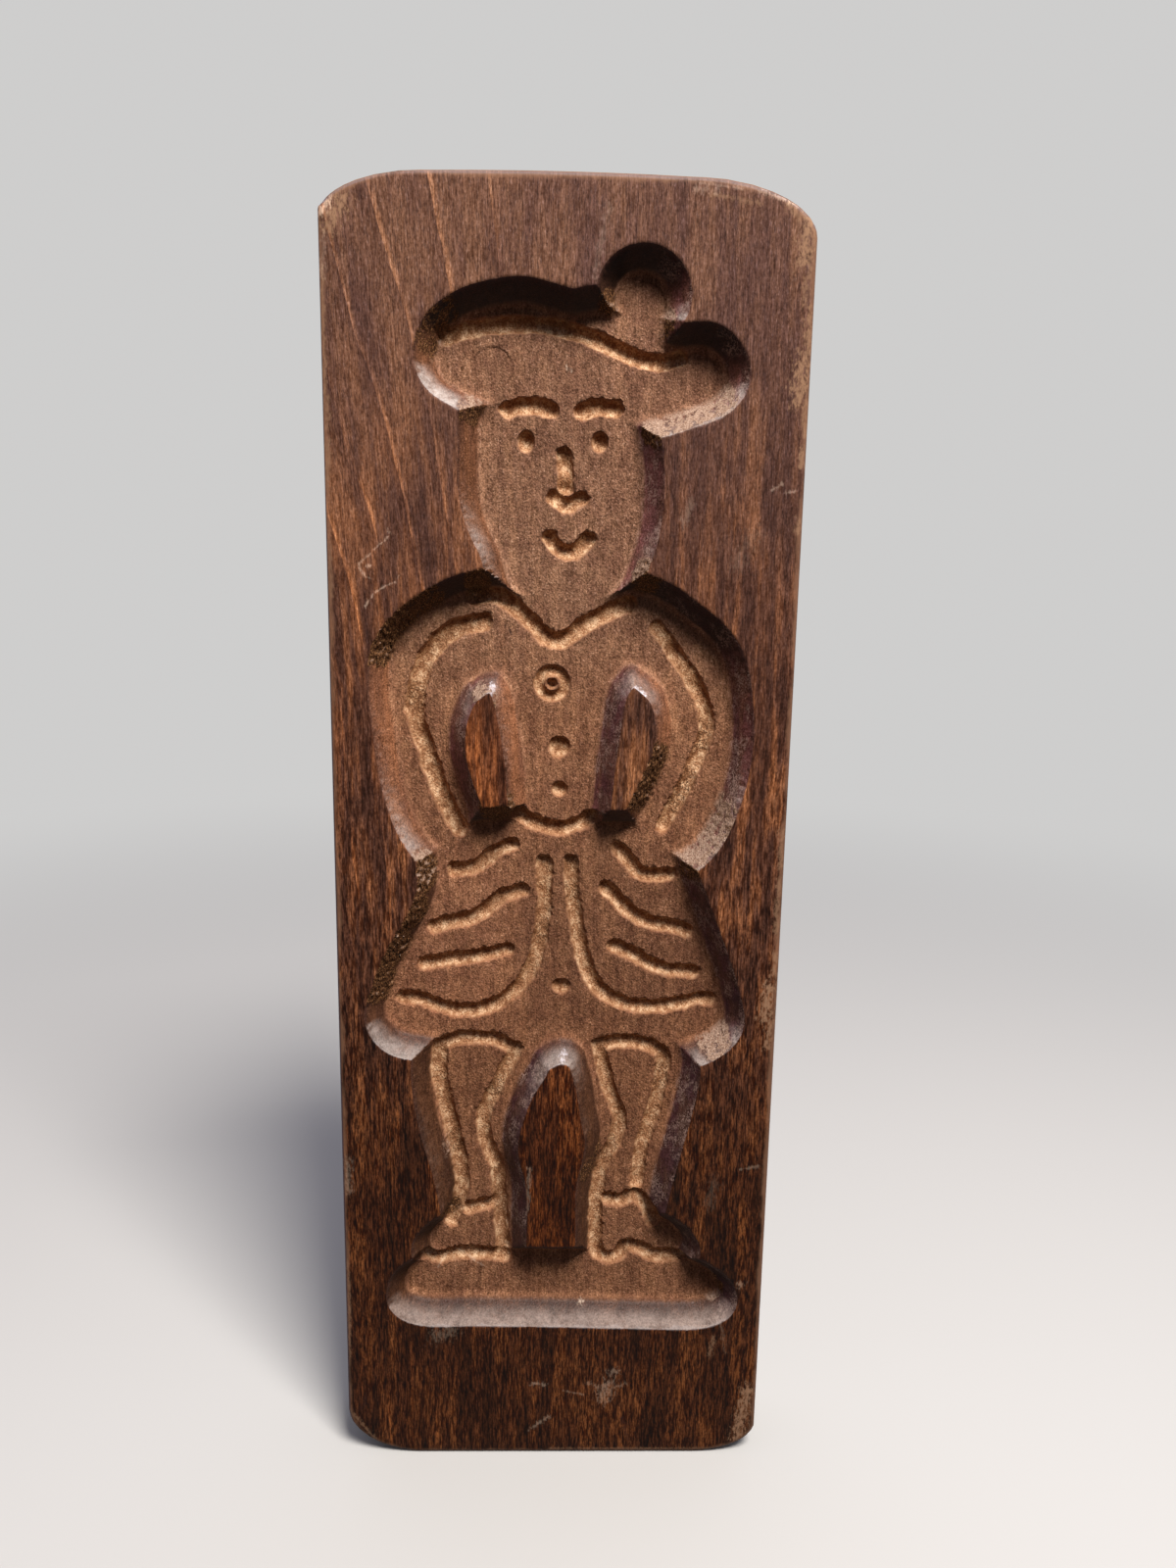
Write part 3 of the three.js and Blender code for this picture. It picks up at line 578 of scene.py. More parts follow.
def times(*values):
    return reduce(lambda a, b: calc("MULTIPLY", a, b), values)


def plus(*values):
    return reduce(lambda a, b: calc("ADD", a, b), values)


def minus(value, other):
    return calc("SUBTRACT", value, other)


def lengthOf(a, b):      # of the slanting side over two square ones
    return calc("SQRT", plus(times(a, a), times(b, b)))


def parts(vector):
    return list(wire("ShaderNodeSeparateXYZ", {0: vector}).outputs)


def joined(*values):
    return wire("ShaderNodeCombineXYZ", dict(enumerate(values))).outputs[0]


def inMillimetres(place):
    return [times(value, 1 / mm) for value in parts(place)]


def shade(amount, under, over, how="MIX"):      # lays one colour over another
    under, over = ((*colour, 1) if isinstance(colour, tuple) else colour for colour in (under, over))
    return wire("ShaderNodeMix", {0: amount, 6: under, 7: over}, data_type="RGBA", blend_type=how).outputs[2]


def tinted(colour, tint, amount=1.0):      # the colour times the tint, as far as amount says
    return shade(amount, colour, tint, "MULTIPLY")


def fade(value, start, end, low=0.0, high=1.0):      # a soft step from low to high
    limits = {0: value, 1: start, 2: end, 3: low, 4: high}
    return wire("ShaderNodeMapRange", limits, interpolation_type="SMOOTHSTEP").outputs[0]


def between(value, start, full, past, end):      # 1 from full to past, 0 before start and after end
    return times(fade(value, start, full), fade(value, end, past))


def grains(place, size, detail=2.0, roughness=0.5):      # noise with patches of that size in mm, along x, y, z
    scaled = wire("ShaderNodeVectorMath", {0: place, 1: [1 / mm / s for s in size]}, operation="MULTIPLY").outputs[0]
    settings = {"Vector": scaled, "Scale": 1.0, "Detail": detail, "Roughness": roughness}
    return wire("ShaderNodeTexNoise", settings).outputs[0]


def shifted(place, offset):      # the same place in another part of a pattern
    return wire("ShaderNodeVectorMath", {0: place, 1: offset}, operation="ADD").outputs[0]


def colourSteps(value, steps):
    node = wire("ShaderNodeValToRGB", {0: value})
    bar = node.color_ramp.elements
    while len(bar) < len(steps):
        bar.new(0.5)
    for element, (position, colour) in zip(bar, steps):
        element.position = position
        element.color = (*colour, 1)
    return node.outputs[0]


def newGroup(name, inputs, outputs):      # an input without a value is a vector, and all the others are numbers
    group = bpy.data.node_groups.new(name, "ShaderNodeTree")
    for label, value in inputs.items():
        kind = "NodeSocketVector" if value is None else "NodeSocketFloat"
        socket = group.interface.new_socket(label, in_out="INPUT", socket_type=kind)
        if value is not None:
            socket.default_value = value
    for label in outputs:
        group.interface.new_socket(label, in_out="OUTPUT", socket_type="NodeSocketFloat")
    return group, put(group, "NodeGroupInput").outputs, put(group, "NodeGroupOutput")


def useGroup(group, **inputs):
    return wire("ShaderNodeGroup", inputs, node_tree=group).outputs


def makeGrainGroup():
    # Beech cut along the trunk. Its colour changes in soft streaks up the face, and rays show as short dark dashes.
    # On the left the fibres lean, and each growth ring darkens towards a thin tan line.
    # Side is 1 on the long narrow sides, where the fine marks are counted through the thickness.
    group, start, end = newGroup("beechGrain", {"Place": None, "Side": 0.0},
                                 ["Tone", "Fibre", "Dash", "Fleck", "Pale", "Line", "Late"])
    split = parts(start["Place"])
    x, y, z = inMillimetres(start["Place"])
    leftShare = calc("MULTIPLY_ADD", x, -1 / 50, 5 / 50, clamp=True)
    shoulders = 190.0      # above this height the fibres lean more
    lean = calc("MULTIPLY_ADD", calc("MAXIMUM", z, shoulders), 0.3,
                calc("MULTIPLY_ADD", calc("MINIMUM", z, shoulders), 0.05, -81.5))
    drift = calc("MULTIPLY_ADD", grains(start["Place"], (60, 60, 120)), 4.0, -2.0)
    across = plus(calc("MULTIPLY_ADD", lean, leftShare, x), drift)
    upright = calc("MULTIPLY_ADD", times(lean, leftShare), 0.3, plus(x, drift))
    follow = joined(times(upright, mm), split[1], split[2])
    slant = plus(times(across, 0.9), times(y, 0.55))
    wobble = times(grains(follow, (7, 7, 24)), 3.0)
    rings = grains(joined(times(plus(slant, wobble), mm)), (6.5, 1, 1), 1)
    streaks = grains(follow, (2.2, 3.0, 34), 3, 0.6)
    patches = grains(follow, (7.0, 9.0, 26), 3, 0.6)
    tone = plus(times(rings, 0.2), times(streaks, 0.4), times(patches, 0.4))
    paleLeft = times(fade(x, -28.0, 25.0, 1.0, -1.0), fade(z, shoulders, 225.0, 0.0, 0.04))
    turned = joined(split[1], split[0], split[2])
    fine = wire("ShaderNodeMix", {0: start["Side"], 4: follow, 5: turned}, data_type="VECTOR").outputs[1]
    fleck = plus(grains(fine, (0.27, 6.0, 1.8), 2, 0.55), fade(z, 200.0, 70.0, 0.0, 0.035))
    pale = grains(shifted(fine, (0.31, 0.07, 0.13)), (0.30, 5.0, 1.3), 2, 0.55)
    wavy = calc("MULTIPLY_ADD", grains(follow, (9, 9, 26)), 3.0, 31.5)
    ringPlace = plus(calc("MULTIPLY_ADD", y, 0.6, across), wavy)
    inRing = calc("FRACT", calc("DIVIDE", ringPlace, 8.8))
    onLeft = times(fade(x, 2.0, -24.0), fade(streaks, 0.35, 0.6, 0.3, 1.0))
    feed(end, {
        "Tone": fade(plus(tone, paleLeft, 0.007), 0.38, 0.62),
        "Fibre": grains(fine, (0.29, 1.0, 5.0), 3, 0.75),
        "Dash": fade(grains(fine, (0.62, 2.4, 4.2), 2, 0.65), 0.37, 0.60),
        "Fleck": fade(fleck, 0.52, 0.64),
        "Pale": fade(pale, 0.53, 0.68),
        "Line": times(fade(inRing, 0.13, 0.02), onLeft),
        "Late": times(fade(inRing, 0.5, 0.98), onLeft),
    })
    return group


def makeWearGroup():
    # How worn an edge is. Distance is in mm from the edge, Reach is how far the wear spreads.
    group, start, end = newGroup("edgeWear", {"Place": None, "Distance": 0.0, "Reach": 1.0, "Patchiness": 0.5},
                                 ["Worn"])
    near = calc("DIVIDE", start["Distance"], start["Reach"])
    patches = minus(grains(start["Place"], (6, 6, 11), 4, 0.65), 0.5)
    uneven = times(patches, start["Patchiness"], 4.0)
    feed(end, {"Worn": fade(minus(near, uneven), 1.0, 0.25)})
    return group


def makeMarkGroup():
    # One scuff on the face: a soft stroke of Length and Width mm, turned by Angle degrees.
    group, start, end = newGroup("scuffMark", {"Place": None, "X": 0.0, "Z": 0.0, "Angle": 0.0, "Length": 5.0,
                                               "Width": 1.0, "Strength": 0.5}, ["Mask"])
    x, y, z = inMillimetres(start["Place"])
    turn = calc("RADIANS", start["Angle"])
    cosine, sine = calc("COSINE", turn), calc("SINE", turn)
    dx, dz = minus(x, start["X"]), minus(z, start["Z"])
    along = calc("ABSOLUTE", plus(times(dx, cosine), times(dz, sine)))
    across = minus(times(dz, cosine), times(dx, sine))
    past = calc("MAXIMUM", minus(along, times(start["Length"], 0.5)), 0.0)
    broken = minus(grains(start["Place"], (0.7, 0.9, 1.5), 4, 0.75), 0.48)
    away = plus(lengthOf(past, across), times(broken, start["Width"], 4.0))
    share = calc("DIVIDE", away, start["Width"])
    onFace = fade(y, 0.0, -1.0)
    feed(end, {"Mask": times(fade(share, 0.75, -0.1), onFace, start["Strength"])})
    return group


def makeFuzzGroup():
    # The dry surface that the cutter leaves: raised fibre ends in light and dark specks.
    group, start, end = newGroup("cutFuzz", {"Place": None}, ["Speck", "Glint", "Height"])
    fine = grains(start["Place"], (0.36, 0.42, 0.44), 2, 0.65)
    coarse = grains(start["Place"], (1.0, 1.1, 1.7), 3, 0.65)
    glint = grains(shifted(start["Place"], (0.21, 0.17, 0.33)), (0.36, 0.42, 0.40), 1)
    feed(end, {
        "Speck": plus(times(fine, 0.65), times(coarse, 0.35)),
        "Glint": fade(glint, 0.60, 0.72),
        "Height": plus(fine, times(coarse, 0.6)),
    })
    return group


scuffs = {         # x, z, angle, length, width, strength
    "pale": [
        (-48.7, 285.0, 56, 3.2, 1.7, 0.9), (40.2, 289.4, -14, 5, 0.9, 0.55), (45.2, 287.7, -24, 5.5, 0.9, 0.7),
        (30.0, 290.8, -6, 9, 0.7, 0.35), (-49.0, 276.0, 85, 8, 1.2, 0.3), (6.5, 280.0, 80, 14, 1.6, 0.22),
        (27.0, 290.0, 0, 4, 1.4, 0.35), (25.6, 227.5, 70, 4, 2.0, 0.3), (38.0, 220.0, 60, 8, 3.4, 0.15),
        (44.0, 233.0, 30, 2.2, 0.8, 0.6), (47.0, 232.0, 10, 1.6, 0.8, 0.55), (-36.8, 222.6, -79, 1.0, 0.7, 0.9),
        (-37.6, 220.8, 44, 2.4, 0.55, 0.9), (-39.4, 219.2, 42, 2.0, 0.5, 0.6), (-41.8, 216.9, 40, 3.0, 0.5, 0.65),
        (-43.0, 215.2, 89, 1.0, 0.6, 0.8), (-42.3, 213.8, -55, 2.0, 0.6, 0.7), (-41.0, 212.8, -16, 1.5, 0.4, 0.4),
        (-41.3, 215.3, 20, 0.6, 0.8, 1.0), (-41.1, 208.3, 56, 3.2, 0.55, 0.9), (-39.1, 210.3, 34, 2.6, 0.5, 0.9),
        (-36.8, 211.6, 24, 2.7, 0.45, 0.75), (-35.2, 212.8, 63, 1.4, 0.4, 0.45), (12.8, 17.5, 78, 3.2, 3.4, 0.7),
        (10.0, 18.9, -22, 4, 1.2, 0.5), (15.8, 18.7, 22, 4, 1.1, 0.4), (14.8, 22.8, 0, 0.3, 2.4, 0.55),
        (-3.5, 19.3, -8, 3.2, 1.2, 0.75), (5.0, 17.0, -12, 5, 0.6, 0.45), (-3.4, 8.4, 38, 6.0, 1.0, 0.65),
        (-26.5, 33.2, 25, 4.5, 3.4, 0.35), (41.2, 32.0, -80, 8, 0.9, 0.25), (45.5, 77.5, 12, 4.5, 0.7, 0.45),
        (37.0, 71.0, 80, 6, 2.8, 0.15), (-48.6, 75.0, 90, 8, 1.8, 0.45), (-6.5, 71.0, 87, 12, 1.0, 0.5),
        (-14.0, 214.0, 40, 1.4, 0.7, 0.45), (44.7, 46.5, 0, 0.1, 1.8, 0.6),
    ],
    "bare": [         # where the stain is worn off along the edges
        (-46.4, 284.2, 58, 5.5, 3.6, 0.95), (47.6, 281.5, 86, 9, 3.0, 0.95), (-49.0, 246.0, 88, 6, 1.2, 0.6),
        (-49.0, 214.0, 90, 10, 0.9, 0.4), (46.5, 284.5, -52, 9, 1.6, 0.65), (48.4, 276.0, 84, 14, 1.4, 0.6),
        (48.9, 264.0, 90, 9, 1.6, 0.8), (48.2, 254.5, 86, 8, 2.8, 0.95), (49.3, 247.0, 90, 7, 1.2, 0.7),
        (-49.3, 262.0, 90, 24, 0.8, 0.6), (-49.2, 236.0, 88, 9, 1.3, 0.6), (49.0, 239.0, 90, 3.5, 1.5, 0.8),
        (49.0, 225.0, 90, 2.5, 1.4, 0.7), (48.9, 155.0, 90, 8, 1.5, 0.65), (48.9, 142.0, 90, 12, 1.4, 0.6),
        (33.0, 288.5, -8, 10, 1.0, 0.4), (38.5, 30.0, 80, 5, 1.2, 0.5), (46.8, 11.5, 80, 13, 3.2, 1.0),
        (-49.2, 40.0, 90, 26, 0.8, 0.5), (47.7, 119.0, 86, 8, 3.0, 1.0), (48.4, 111.0, 84, 6, 1.8, 0.8),
        (49.0, 128.0, 90, 5, 1.4, 0.8), (48.0, 255.5, 80, 6, 3.4, 0.95), (47.4, 251.0, 60, 2.5, 2.2, 0.8),
        (-46.5, 8.0, -52, 10, 1.0, 0.5), (20.0, 1.2, 0, 40, 0.7, 0.4),
    ],
    "dark": [(17.8, 7.0, -76, 6, 1.0, 0.6), (-46.0, 14.0, 72, 3, 1.6, 0.5)],
    "floor": [         # in the pocket
        (0.2, 256.3, 0, 0.1, 1.0, 0.9), (6.5, 38.5, 0, 0.4, 1.0, 0.7), (-27.0, 48.8, 52, 5, 0.5, 0.35),
        (-20.5, 49.0, -28, 9, 0.5, 0.3),
    ],
    "glint": [         # painted highlights at the heads of the three islands
        (16.8, 189.6, -36, 2.6, 1.0, 0.8), (-15.4, 189.4, 72, 1.4, 1.2, 0.75), (1.3, 104.4, 60, 0.8, 1.2, 0.6),
    ],
    "crack": [(-12.0, 202.0, -58, 2.4, 0.6, 0.8), (3.5, 37.6, 60, 2.0, 2.2, 0.35)],
}


def marksOn(place, groups, name):
    total = 0.0
    for x, z, angle, long, wide, strength in scuffs[name]:
        mask = useGroup(groups["mark"], Place=place, X=x, Z=z, Angle=angle, Length=long, Width=wide,
                        Strength=strength)[0]
        total = calc("MAXIMUM", total, mask)
    return total


def attribute(place, name):
    return put(place.id_data, "ShaderNodeAttribute", attribute_name=name).outputs["Fac"]


def facing(place):      # how far the surface looks to the right and how far up, each from -1 to 1
    return parts(put(place.id_data, "ShaderNodeNewGeometry").outputs["Normal"])[::2]


def wornEdges(place, groups, reach):
    return useGroup(groups["wear"], Place=place, Distance=attribute(place, "edgeDistance"), Reach=reach,
                    Patchiness=0.5)[0]


def rubbedRimAndHighlight(place, groups, wall, up, patchiness):      # the pocket's lower rims: worn smoother, and as a colour a painted highlight
    fromRim = calc("ABSOLUTE", minus(wall, pocket["wallRun"]))
    worn = useGroup(groups["wear"], Place=place, Distance=fromRim, Reach=0.4, Patchiness=patchiness)[0]
    return times(worn, fade(up, 0.2, 0.7))


def newMaterial(name):
    material = bpy.data.materials.new(name)
    material.use_nodes = True
    tree = material.node_tree
    tree.nodes.clear()
    shader = put(tree, "ShaderNodeBsdfPrincipled")
    put(tree, "ShaderNodeOutputMaterial", {"Surface": shader.outputs[0]})
    place = put(tree, "ShaderNodeTexCoord").outputs["Object"]
    return material, shader, place


def bumpOf(height, deep, strength):      # deep in mm
    return wire("ShaderNodeBump", {"Height": height, "Distance": deep * mm, "Strength": strength}).outputs[0]


# Colours of the stained wood. Those with Tint in the name multiply what lies under them.
stain = {
    "lower": [(0.0, (0.026, 0.008, 0.003)), (0.5, (0.064, 0.019, 0.007)), (0.8, (0.104, 0.032, 0.010)),
              (1.0, (0.150, 0.048, 0.015))],
    "middle": [(0.0, (0.042, 0.016, 0.010)), (0.45, (0.105, 0.040, 0.022)), (0.75, (0.188, 0.068, 0.029)),
               (1.0, (0.298, 0.110, 0.044))],
    "upper": [(0.0, (0.097, 0.044, 0.032)), (0.5, (0.132, 0.060, 0.038)), (1.0, (0.174, 0.080, 0.046))],
    "leftIslandTint": (1.20, 1.02, 0.80),
    "rightIslandTint": (0.88, 0.92, 0.96),
    "legIslandTint": (0.99, 0.84, 0.68),
    "fibreTints": ((0.45, 0.37, 0.31), (1.58, 1.70, 1.86)),
    "dashTints": ((0.24, 0.14, 0.07), (1.34, 1.40, 1.44)),
    "lateWoodTint": (0.76, 0.74, 0.78),
    "ringLineTint": (1.8, 1.75, 1.55),
    "fleckTint": (0.25, 0.26, 0.34),
    "paleFleckTint": (1.7, 2.0, 2.4),
    "leftFacingCoolShadeTint": (0.52, 0.56, 1.10),
    "darkMark": (0.030, 0.013, 0.011),
    "wornEdge": (0.270, 0.140, 0.085),
    "wornEdgeTopSheen": (0.230, 0.170, 0.165),
    "bareWood": (0.310, 0.175, 0.105),
    "rubbedTint": (2.6, 3.0, 3.4),
    "scuff": (0.560, 0.420, 0.320),
    "rim": (0.420, 0.370, 0.370),
    "roughness": 0.46,
    "specular": 0.08,
}


def makeStainedFace(groups):
    material, shader, place = newMaterial("stainedFace")
    x, height = inMillimetres(place)[::2]
    sideways, up = facing(place)
    onSide = fade(calc("ABSOLUTE", sideways), 0.55, 0.80)
    grain = useGroup(groups["grain"], Place=place, Side=onSide)
    lower, middle, upper = (colourSteps(grain["Tone"], stain[name]) for name in ("lower", "middle", "upper"))
    colour = shade(fade(height, 60, 160), lower, middle)
    colour = shade(fade(height, 170, 280), colour, upper)
    island = times(fade(calc("ABSOLUTE", x), 27, 24), between(height, 48, 52, 191, 193))
    islandTint = shade(fade(x, -2, 2), stain["leftIslandTint"], stain["rightIslandTint"])
    islandTint = shade(fade(height, 120, 140), stain["legIslandTint"], islandTint)
    colour = tinted(colour, islandTint, island)
    grit = grains(place, (0.40, 0.6, 0.62), 3, 0.7)
    fibre = plus(times(grit, 0.4), times(grain["Fibre"], 0.6))
    colour = tinted(colour, shade(fade(fibre, 0.35, 0.65), *stain["fibreTints"]))
    dashes = shade(grain["Dash"], *stain["dashTints"])
    colour = tinted(colour, dashes, fade(height, 100, 240, 1.0, 0.3))
    colour = tinted(colour, stain["lateWoodTint"], grain["Late"])
    colour = tinted(colour, stain["ringLineTint"], grain["Line"])
    flecks = times(grain["Fleck"], fade(height, 60, 240, 0.95, 0.5))
    colour = tinted(colour, stain["fleckTint"], flecks)
    paleFlecks = times(grain["Pale"], fade(height, 60, 240, 0.3, 0.6))
    colour = tinted(colour, stain["paleFleckTint"], paleFlecks)
    worn = times(wornEdges(place, groups, 1.5), 0.6)
    # worn edges, with a grey-lilac painted sheen where they face up
    colour = shade(worn, colour, shade(fade(up, 0.1, 0.5), stain["wornEdge"], stain["wornEdgeTopSheen"]))
    rimWearAndHighlight = rubbedRimAndHighlight(place, groups, attribute(place, "wallDistance"), up, 1.2)
    # painted highlight: a pale line on the rims that face up
    colour = shade(times(rimWearAndHighlight, 0.35), colour, stain["rim"])
    # painted cool shade on what faces left
    colour = tinted(colour, stain["leftFacingCoolShadeTint"], fade(sideways, -0.40, -0.75))
    for name, mark in (("dark", stain["darkMark"]), ("bare", stain["bareWood"])):
        colour = shade(marksOn(place, groups, name), colour, mark)
    scuffed = marksOn(place, groups, "pale")
    rubbed = shade(0.45, tinted(colour, stain["rubbedTint"]), stain["scuff"])
    dull = calc("MULTIPLY_ADD", grain["Fleck"], 0.12, stain["roughness"])
    dull = calc("MULTIPLY_ADD", scuffed, 0.25, dull)
    relief = minus(times(grain["Fibre"], 0.8), times(grain["Fleck"], 0.6))
    feed(shader, {
        "Base Color": shade(scuffed, colour, rubbed),
        "Roughness": calc("MULTIPLY_ADD", rimWearAndHighlight, -0.2, dull),
        "Specular IOR Level": stain["specular"],
        "Normal": bumpOf(relief, 0.06, 0.6),
    })
    return material


# Colours of the carved wood, named in the same way
carving = {
    "floor": [(0.0, (0.216, 0.094, 0.050)), (0.5, (0.254, 0.113, 0.060)), (1.0, (0.298, 0.133, 0.068))],
    "floorTints": [         # at shares of the board's length
        (0.15, (0.770, 0.760, 0.740)), (0.33, (0.670, 0.630, 0.590)), (0.45, (0.740, 0.710, 0.700)),
        (0.62, (0.890, 0.890, 0.870)), (0.72, (0.835, 0.915, 1.0)), (0.87, (0.740, 0.785, 0.860)),
    ],
    "mottleTints": ((0.84, 0.80, 0.80), (1.16, 1.18, 1.16)),
    "ringTint": (0.58, 0.53, 0.50),
    "wall": [(0.0, (0.085, 0.037, 0.027)), (0.5, (0.120, 0.052, 0.034)), (1.0, (0.160, 0.068, 0.040))],
    "legCoolShadeTint": (0.84, 0.72, 1.24),         # painted cool shade, on walls that face left
    "bodyCoolShadeTint": (1.05, 0.86, 1.25),
    "headCoolShadeTint": (1.75, 1.50, 1.95),
    "warmLitTint": (1.0, 0.92, 0.72),
    "dryFootTint": (1.35, 1.42, 1.50),
    "paintedRimShade": (0.050, 0.021, 0.015),
    "underShadeTint": (0.52, 0.28, 0.24),
    "speckTints": ((0.30, 0.25, 0.20), (1.70, 1.80, 1.92)),
    "glintTint": (1.9, 2.2, 2.5),
    "grazed": (0.380, 0.255, 0.210),
    "raw": [(0.34, (0.200, 0.084, 0.038)), (0.5, (0.400, 0.205, 0.105)), (0.66, (0.720, 0.480, 0.300))],
    "rawShadeAndLightTints": ((0.85, 0.72, 0.58), (1.15, 1.16, 1.16)),
    # painted sheen colours for the walls that face up
    "legSheen": (0.430, 0.335, 0.295),
    "bodySheen": (0.47, 0.41, 0.385),
    "hatSheen": (0.54, 0.47, 0.45),
    "crumbs": (0.085, 0.038, 0.018),
    "tornShadedFibres": [(0.40, (0.026, 0.011, 0.005)), (0.52, (0.100, 0.040, 0.015)), (0.68, (0.360, 0.180, 0.080))],
    "tornLitFibres": [(0.34, (0.175, 0.096, 0.064)), (0.46, (0.300, 0.190, 0.136)), (0.64, (0.450, 0.315, 0.245))],
    "glint": (0.74, 0.69, 0.76),
    "roughness": 0.85,
    "specular": 0.12,
}


def pocketFloor(place, grain, x, height):
    colour = colourSteps(grain["Tone"], carving["floor"])
    colour = tinted(colour, colourSteps(calc("DIVIDE", height, length), carving["floorTints"]))
    mottle = fade(grains(place, (3.0, 3.0, 5.0), 4, 0.65), 0.38, 0.62)
    colour = tinted(colour, shade(mottle, *carving["mottleTints"]))
    onSkirt = times(between(height, 106, 114, 146, 156), fade(x, -2, -18, -0.12, 0.24))
    rightCheek = times(fade(height, 200, 215), fade(x, 0, 12, 0.0, 0.08))
    colour = tinted(colour, plus(onSkirt, rightCheek, fade(height, 128, 112, 1.0, 1.10)))
    ringLines = 0.0
    for ringX, ringZ, radius in plungeRings:
        away = lengthOf(minus(x, ringX), minus(height, ringZ))
        offLine = calc("ABSOLUTE", minus(away, radius))
        ringLines = calc("MAXIMUM", ringLines, fade(offLine, 0.34, 0.1))
    broken = fade(grains(place, (4, 4, 4)), 0.38, 0.6, 0.35, 0.9)
    return tinted(colour, carving["ringTint"], times(ringLines, broken))


def pocketWall(grain, height, sideways, up, facesLamp, inPatches):
    # Darker towards the bottom, with painted shade on the walls that face down and on the plume's left wall, painted
    # light on the walls of the body that face right, and painted cool shade in bluish patches where the walls face
    # left.
    colour = colourSteps(grain["Tone"], carving["wall"])
    # painted light: walls that face right, on the left of the body, are made paler
    paintedLight = calc("MULTIPLY_ADD", facesLamp, fade(height, 200, 212, 0.68, 0.0), 1.0)
    # painted shade on the plume's left wall
    plumeWallShade = times(fade(sideways, 0.1, 0.6), fade(height, 262, 265, 0.0, 0.65))
    # painted shade: walls that face down are darkened to a fifth
    colour = tinted(colour, times(fade(height, 80, 150, 0.5, 1.0), paintedLight,
                                  fade(up, -0.6, -0.1, 0.2, 1.0), minus(1.0, plumeWallShade)))
    # painted cool shade in patches on the walls that face left
    coolShade = shade(fade(height, 120, 150), carving["legCoolShadeTint"], carving["bodyCoolShadeTint"])
    coolShade = shade(fade(height, 203, 215), coolShade, carving["headCoolShadeTint"])
    colour = tinted(colour, coolShade, times(fade(sideways, -0.2, -0.7), inPatches))
    # painted warm lamp light on the walls that face right
    return tinted(colour, carving["warmLitTint"], fade(sideways, 0.2, 0.7))


def bareGrooves(colour, place, fuzz, wall, cut, up):      # the new colour, and 1 where the raw wood shows
    ragged = times(minus(fuzz["Speck"], 0.5), 1.5)
    inCut = times(fade(plus(cut, ragged), 0.1, -0.5), fade(wall, 3.0, 1.0))
    patches = minus(grains(place, (1.6, 1.6, 2.2)), 0.5)
    rawColour = colourSteps(plus(times(patches, 0.55), fuzz["Speck"]), carving["raw"])
    # painted shade and light: groove sides that face down are darker, those that face up lighter
    rawColour = tinted(rawColour, shade(fade(up, -0.40, 0.25), *carving["rawShadeAndLightTints"]))
    return shade(times(inCut, 0.9), colour, rawColour), inCut


def tornFibres(colour, place, wall, up, torn, inCut):
    # They get a shaded colour where they hang over and a lit colour where they face up, as painted shade and light, and
    # some lie as crumbs in the grooves.
    chunks = grains(place, (0.30, 0.38, 0.50), 2, 0.65)
    dark, pale = (colourSteps(chunks, carving[name]) for name in ("tornShadedFibres", "tornLitFibres"))
    strays = minus(grains(place, (1.3, 1.3, 2.0), 3, 0.65), 0.5)
    inTorn = times(fade(plus(times(strays, 2.4), torn), 0.0, 0.32), fade(wall, -0.8, 1.0), fade(torn, 0.03, 0.2))
    crumbs = times(inCut, fade(torn, 0.08, 0.3), fade(chunks, 0.50, 0.43), 0.8)
    colour = shade(crumbs, colour, carving["crumbs"])
    return shade(inTorn, colour, shade(fade(up, 0.0, 0.45), dark, pale)), inTorn


def layPaintedSheen(colour, place, fuzz, height, wall, up, torn):      # painted sheen: a pale lilac colour on the walls that face up, as if they reflected the light from above
    byLegs = times(fade(height, 50, 56), fade(height, 101, 95, 0.0, 0.75))
    byArmpits = times(fade(height, 176, 182), fade(height, 203, 198, 0.0, 0.45))
    onHat = times(fade(height, 236, 246), 0.35)
    patchy = times(fade(grains(place, (3, 3, 2), 4, 0.65), 0.25, 0.6, 0.4, 1.0),
                   fade(fuzz["Speck"], 0.36, 0.64, 0.7, 1.15))
    paintedSheen = times(fade(wall, 0.9, 3.6), fade(up, 0.05, 0.55), minus(1.0, plus(byLegs, byArmpits)), patchy,
                 plus(onHat, 0.6), fade(torn, 0.02, 0.16, 1.0, 0.25))
    sheenColour = shade(fade(height, 95, 108), carving["legSheen"], carving["bodySheen"])
    return shade(paintedSheen, colour, shade(onHat, sheenColour, carving["hatSheen"]))


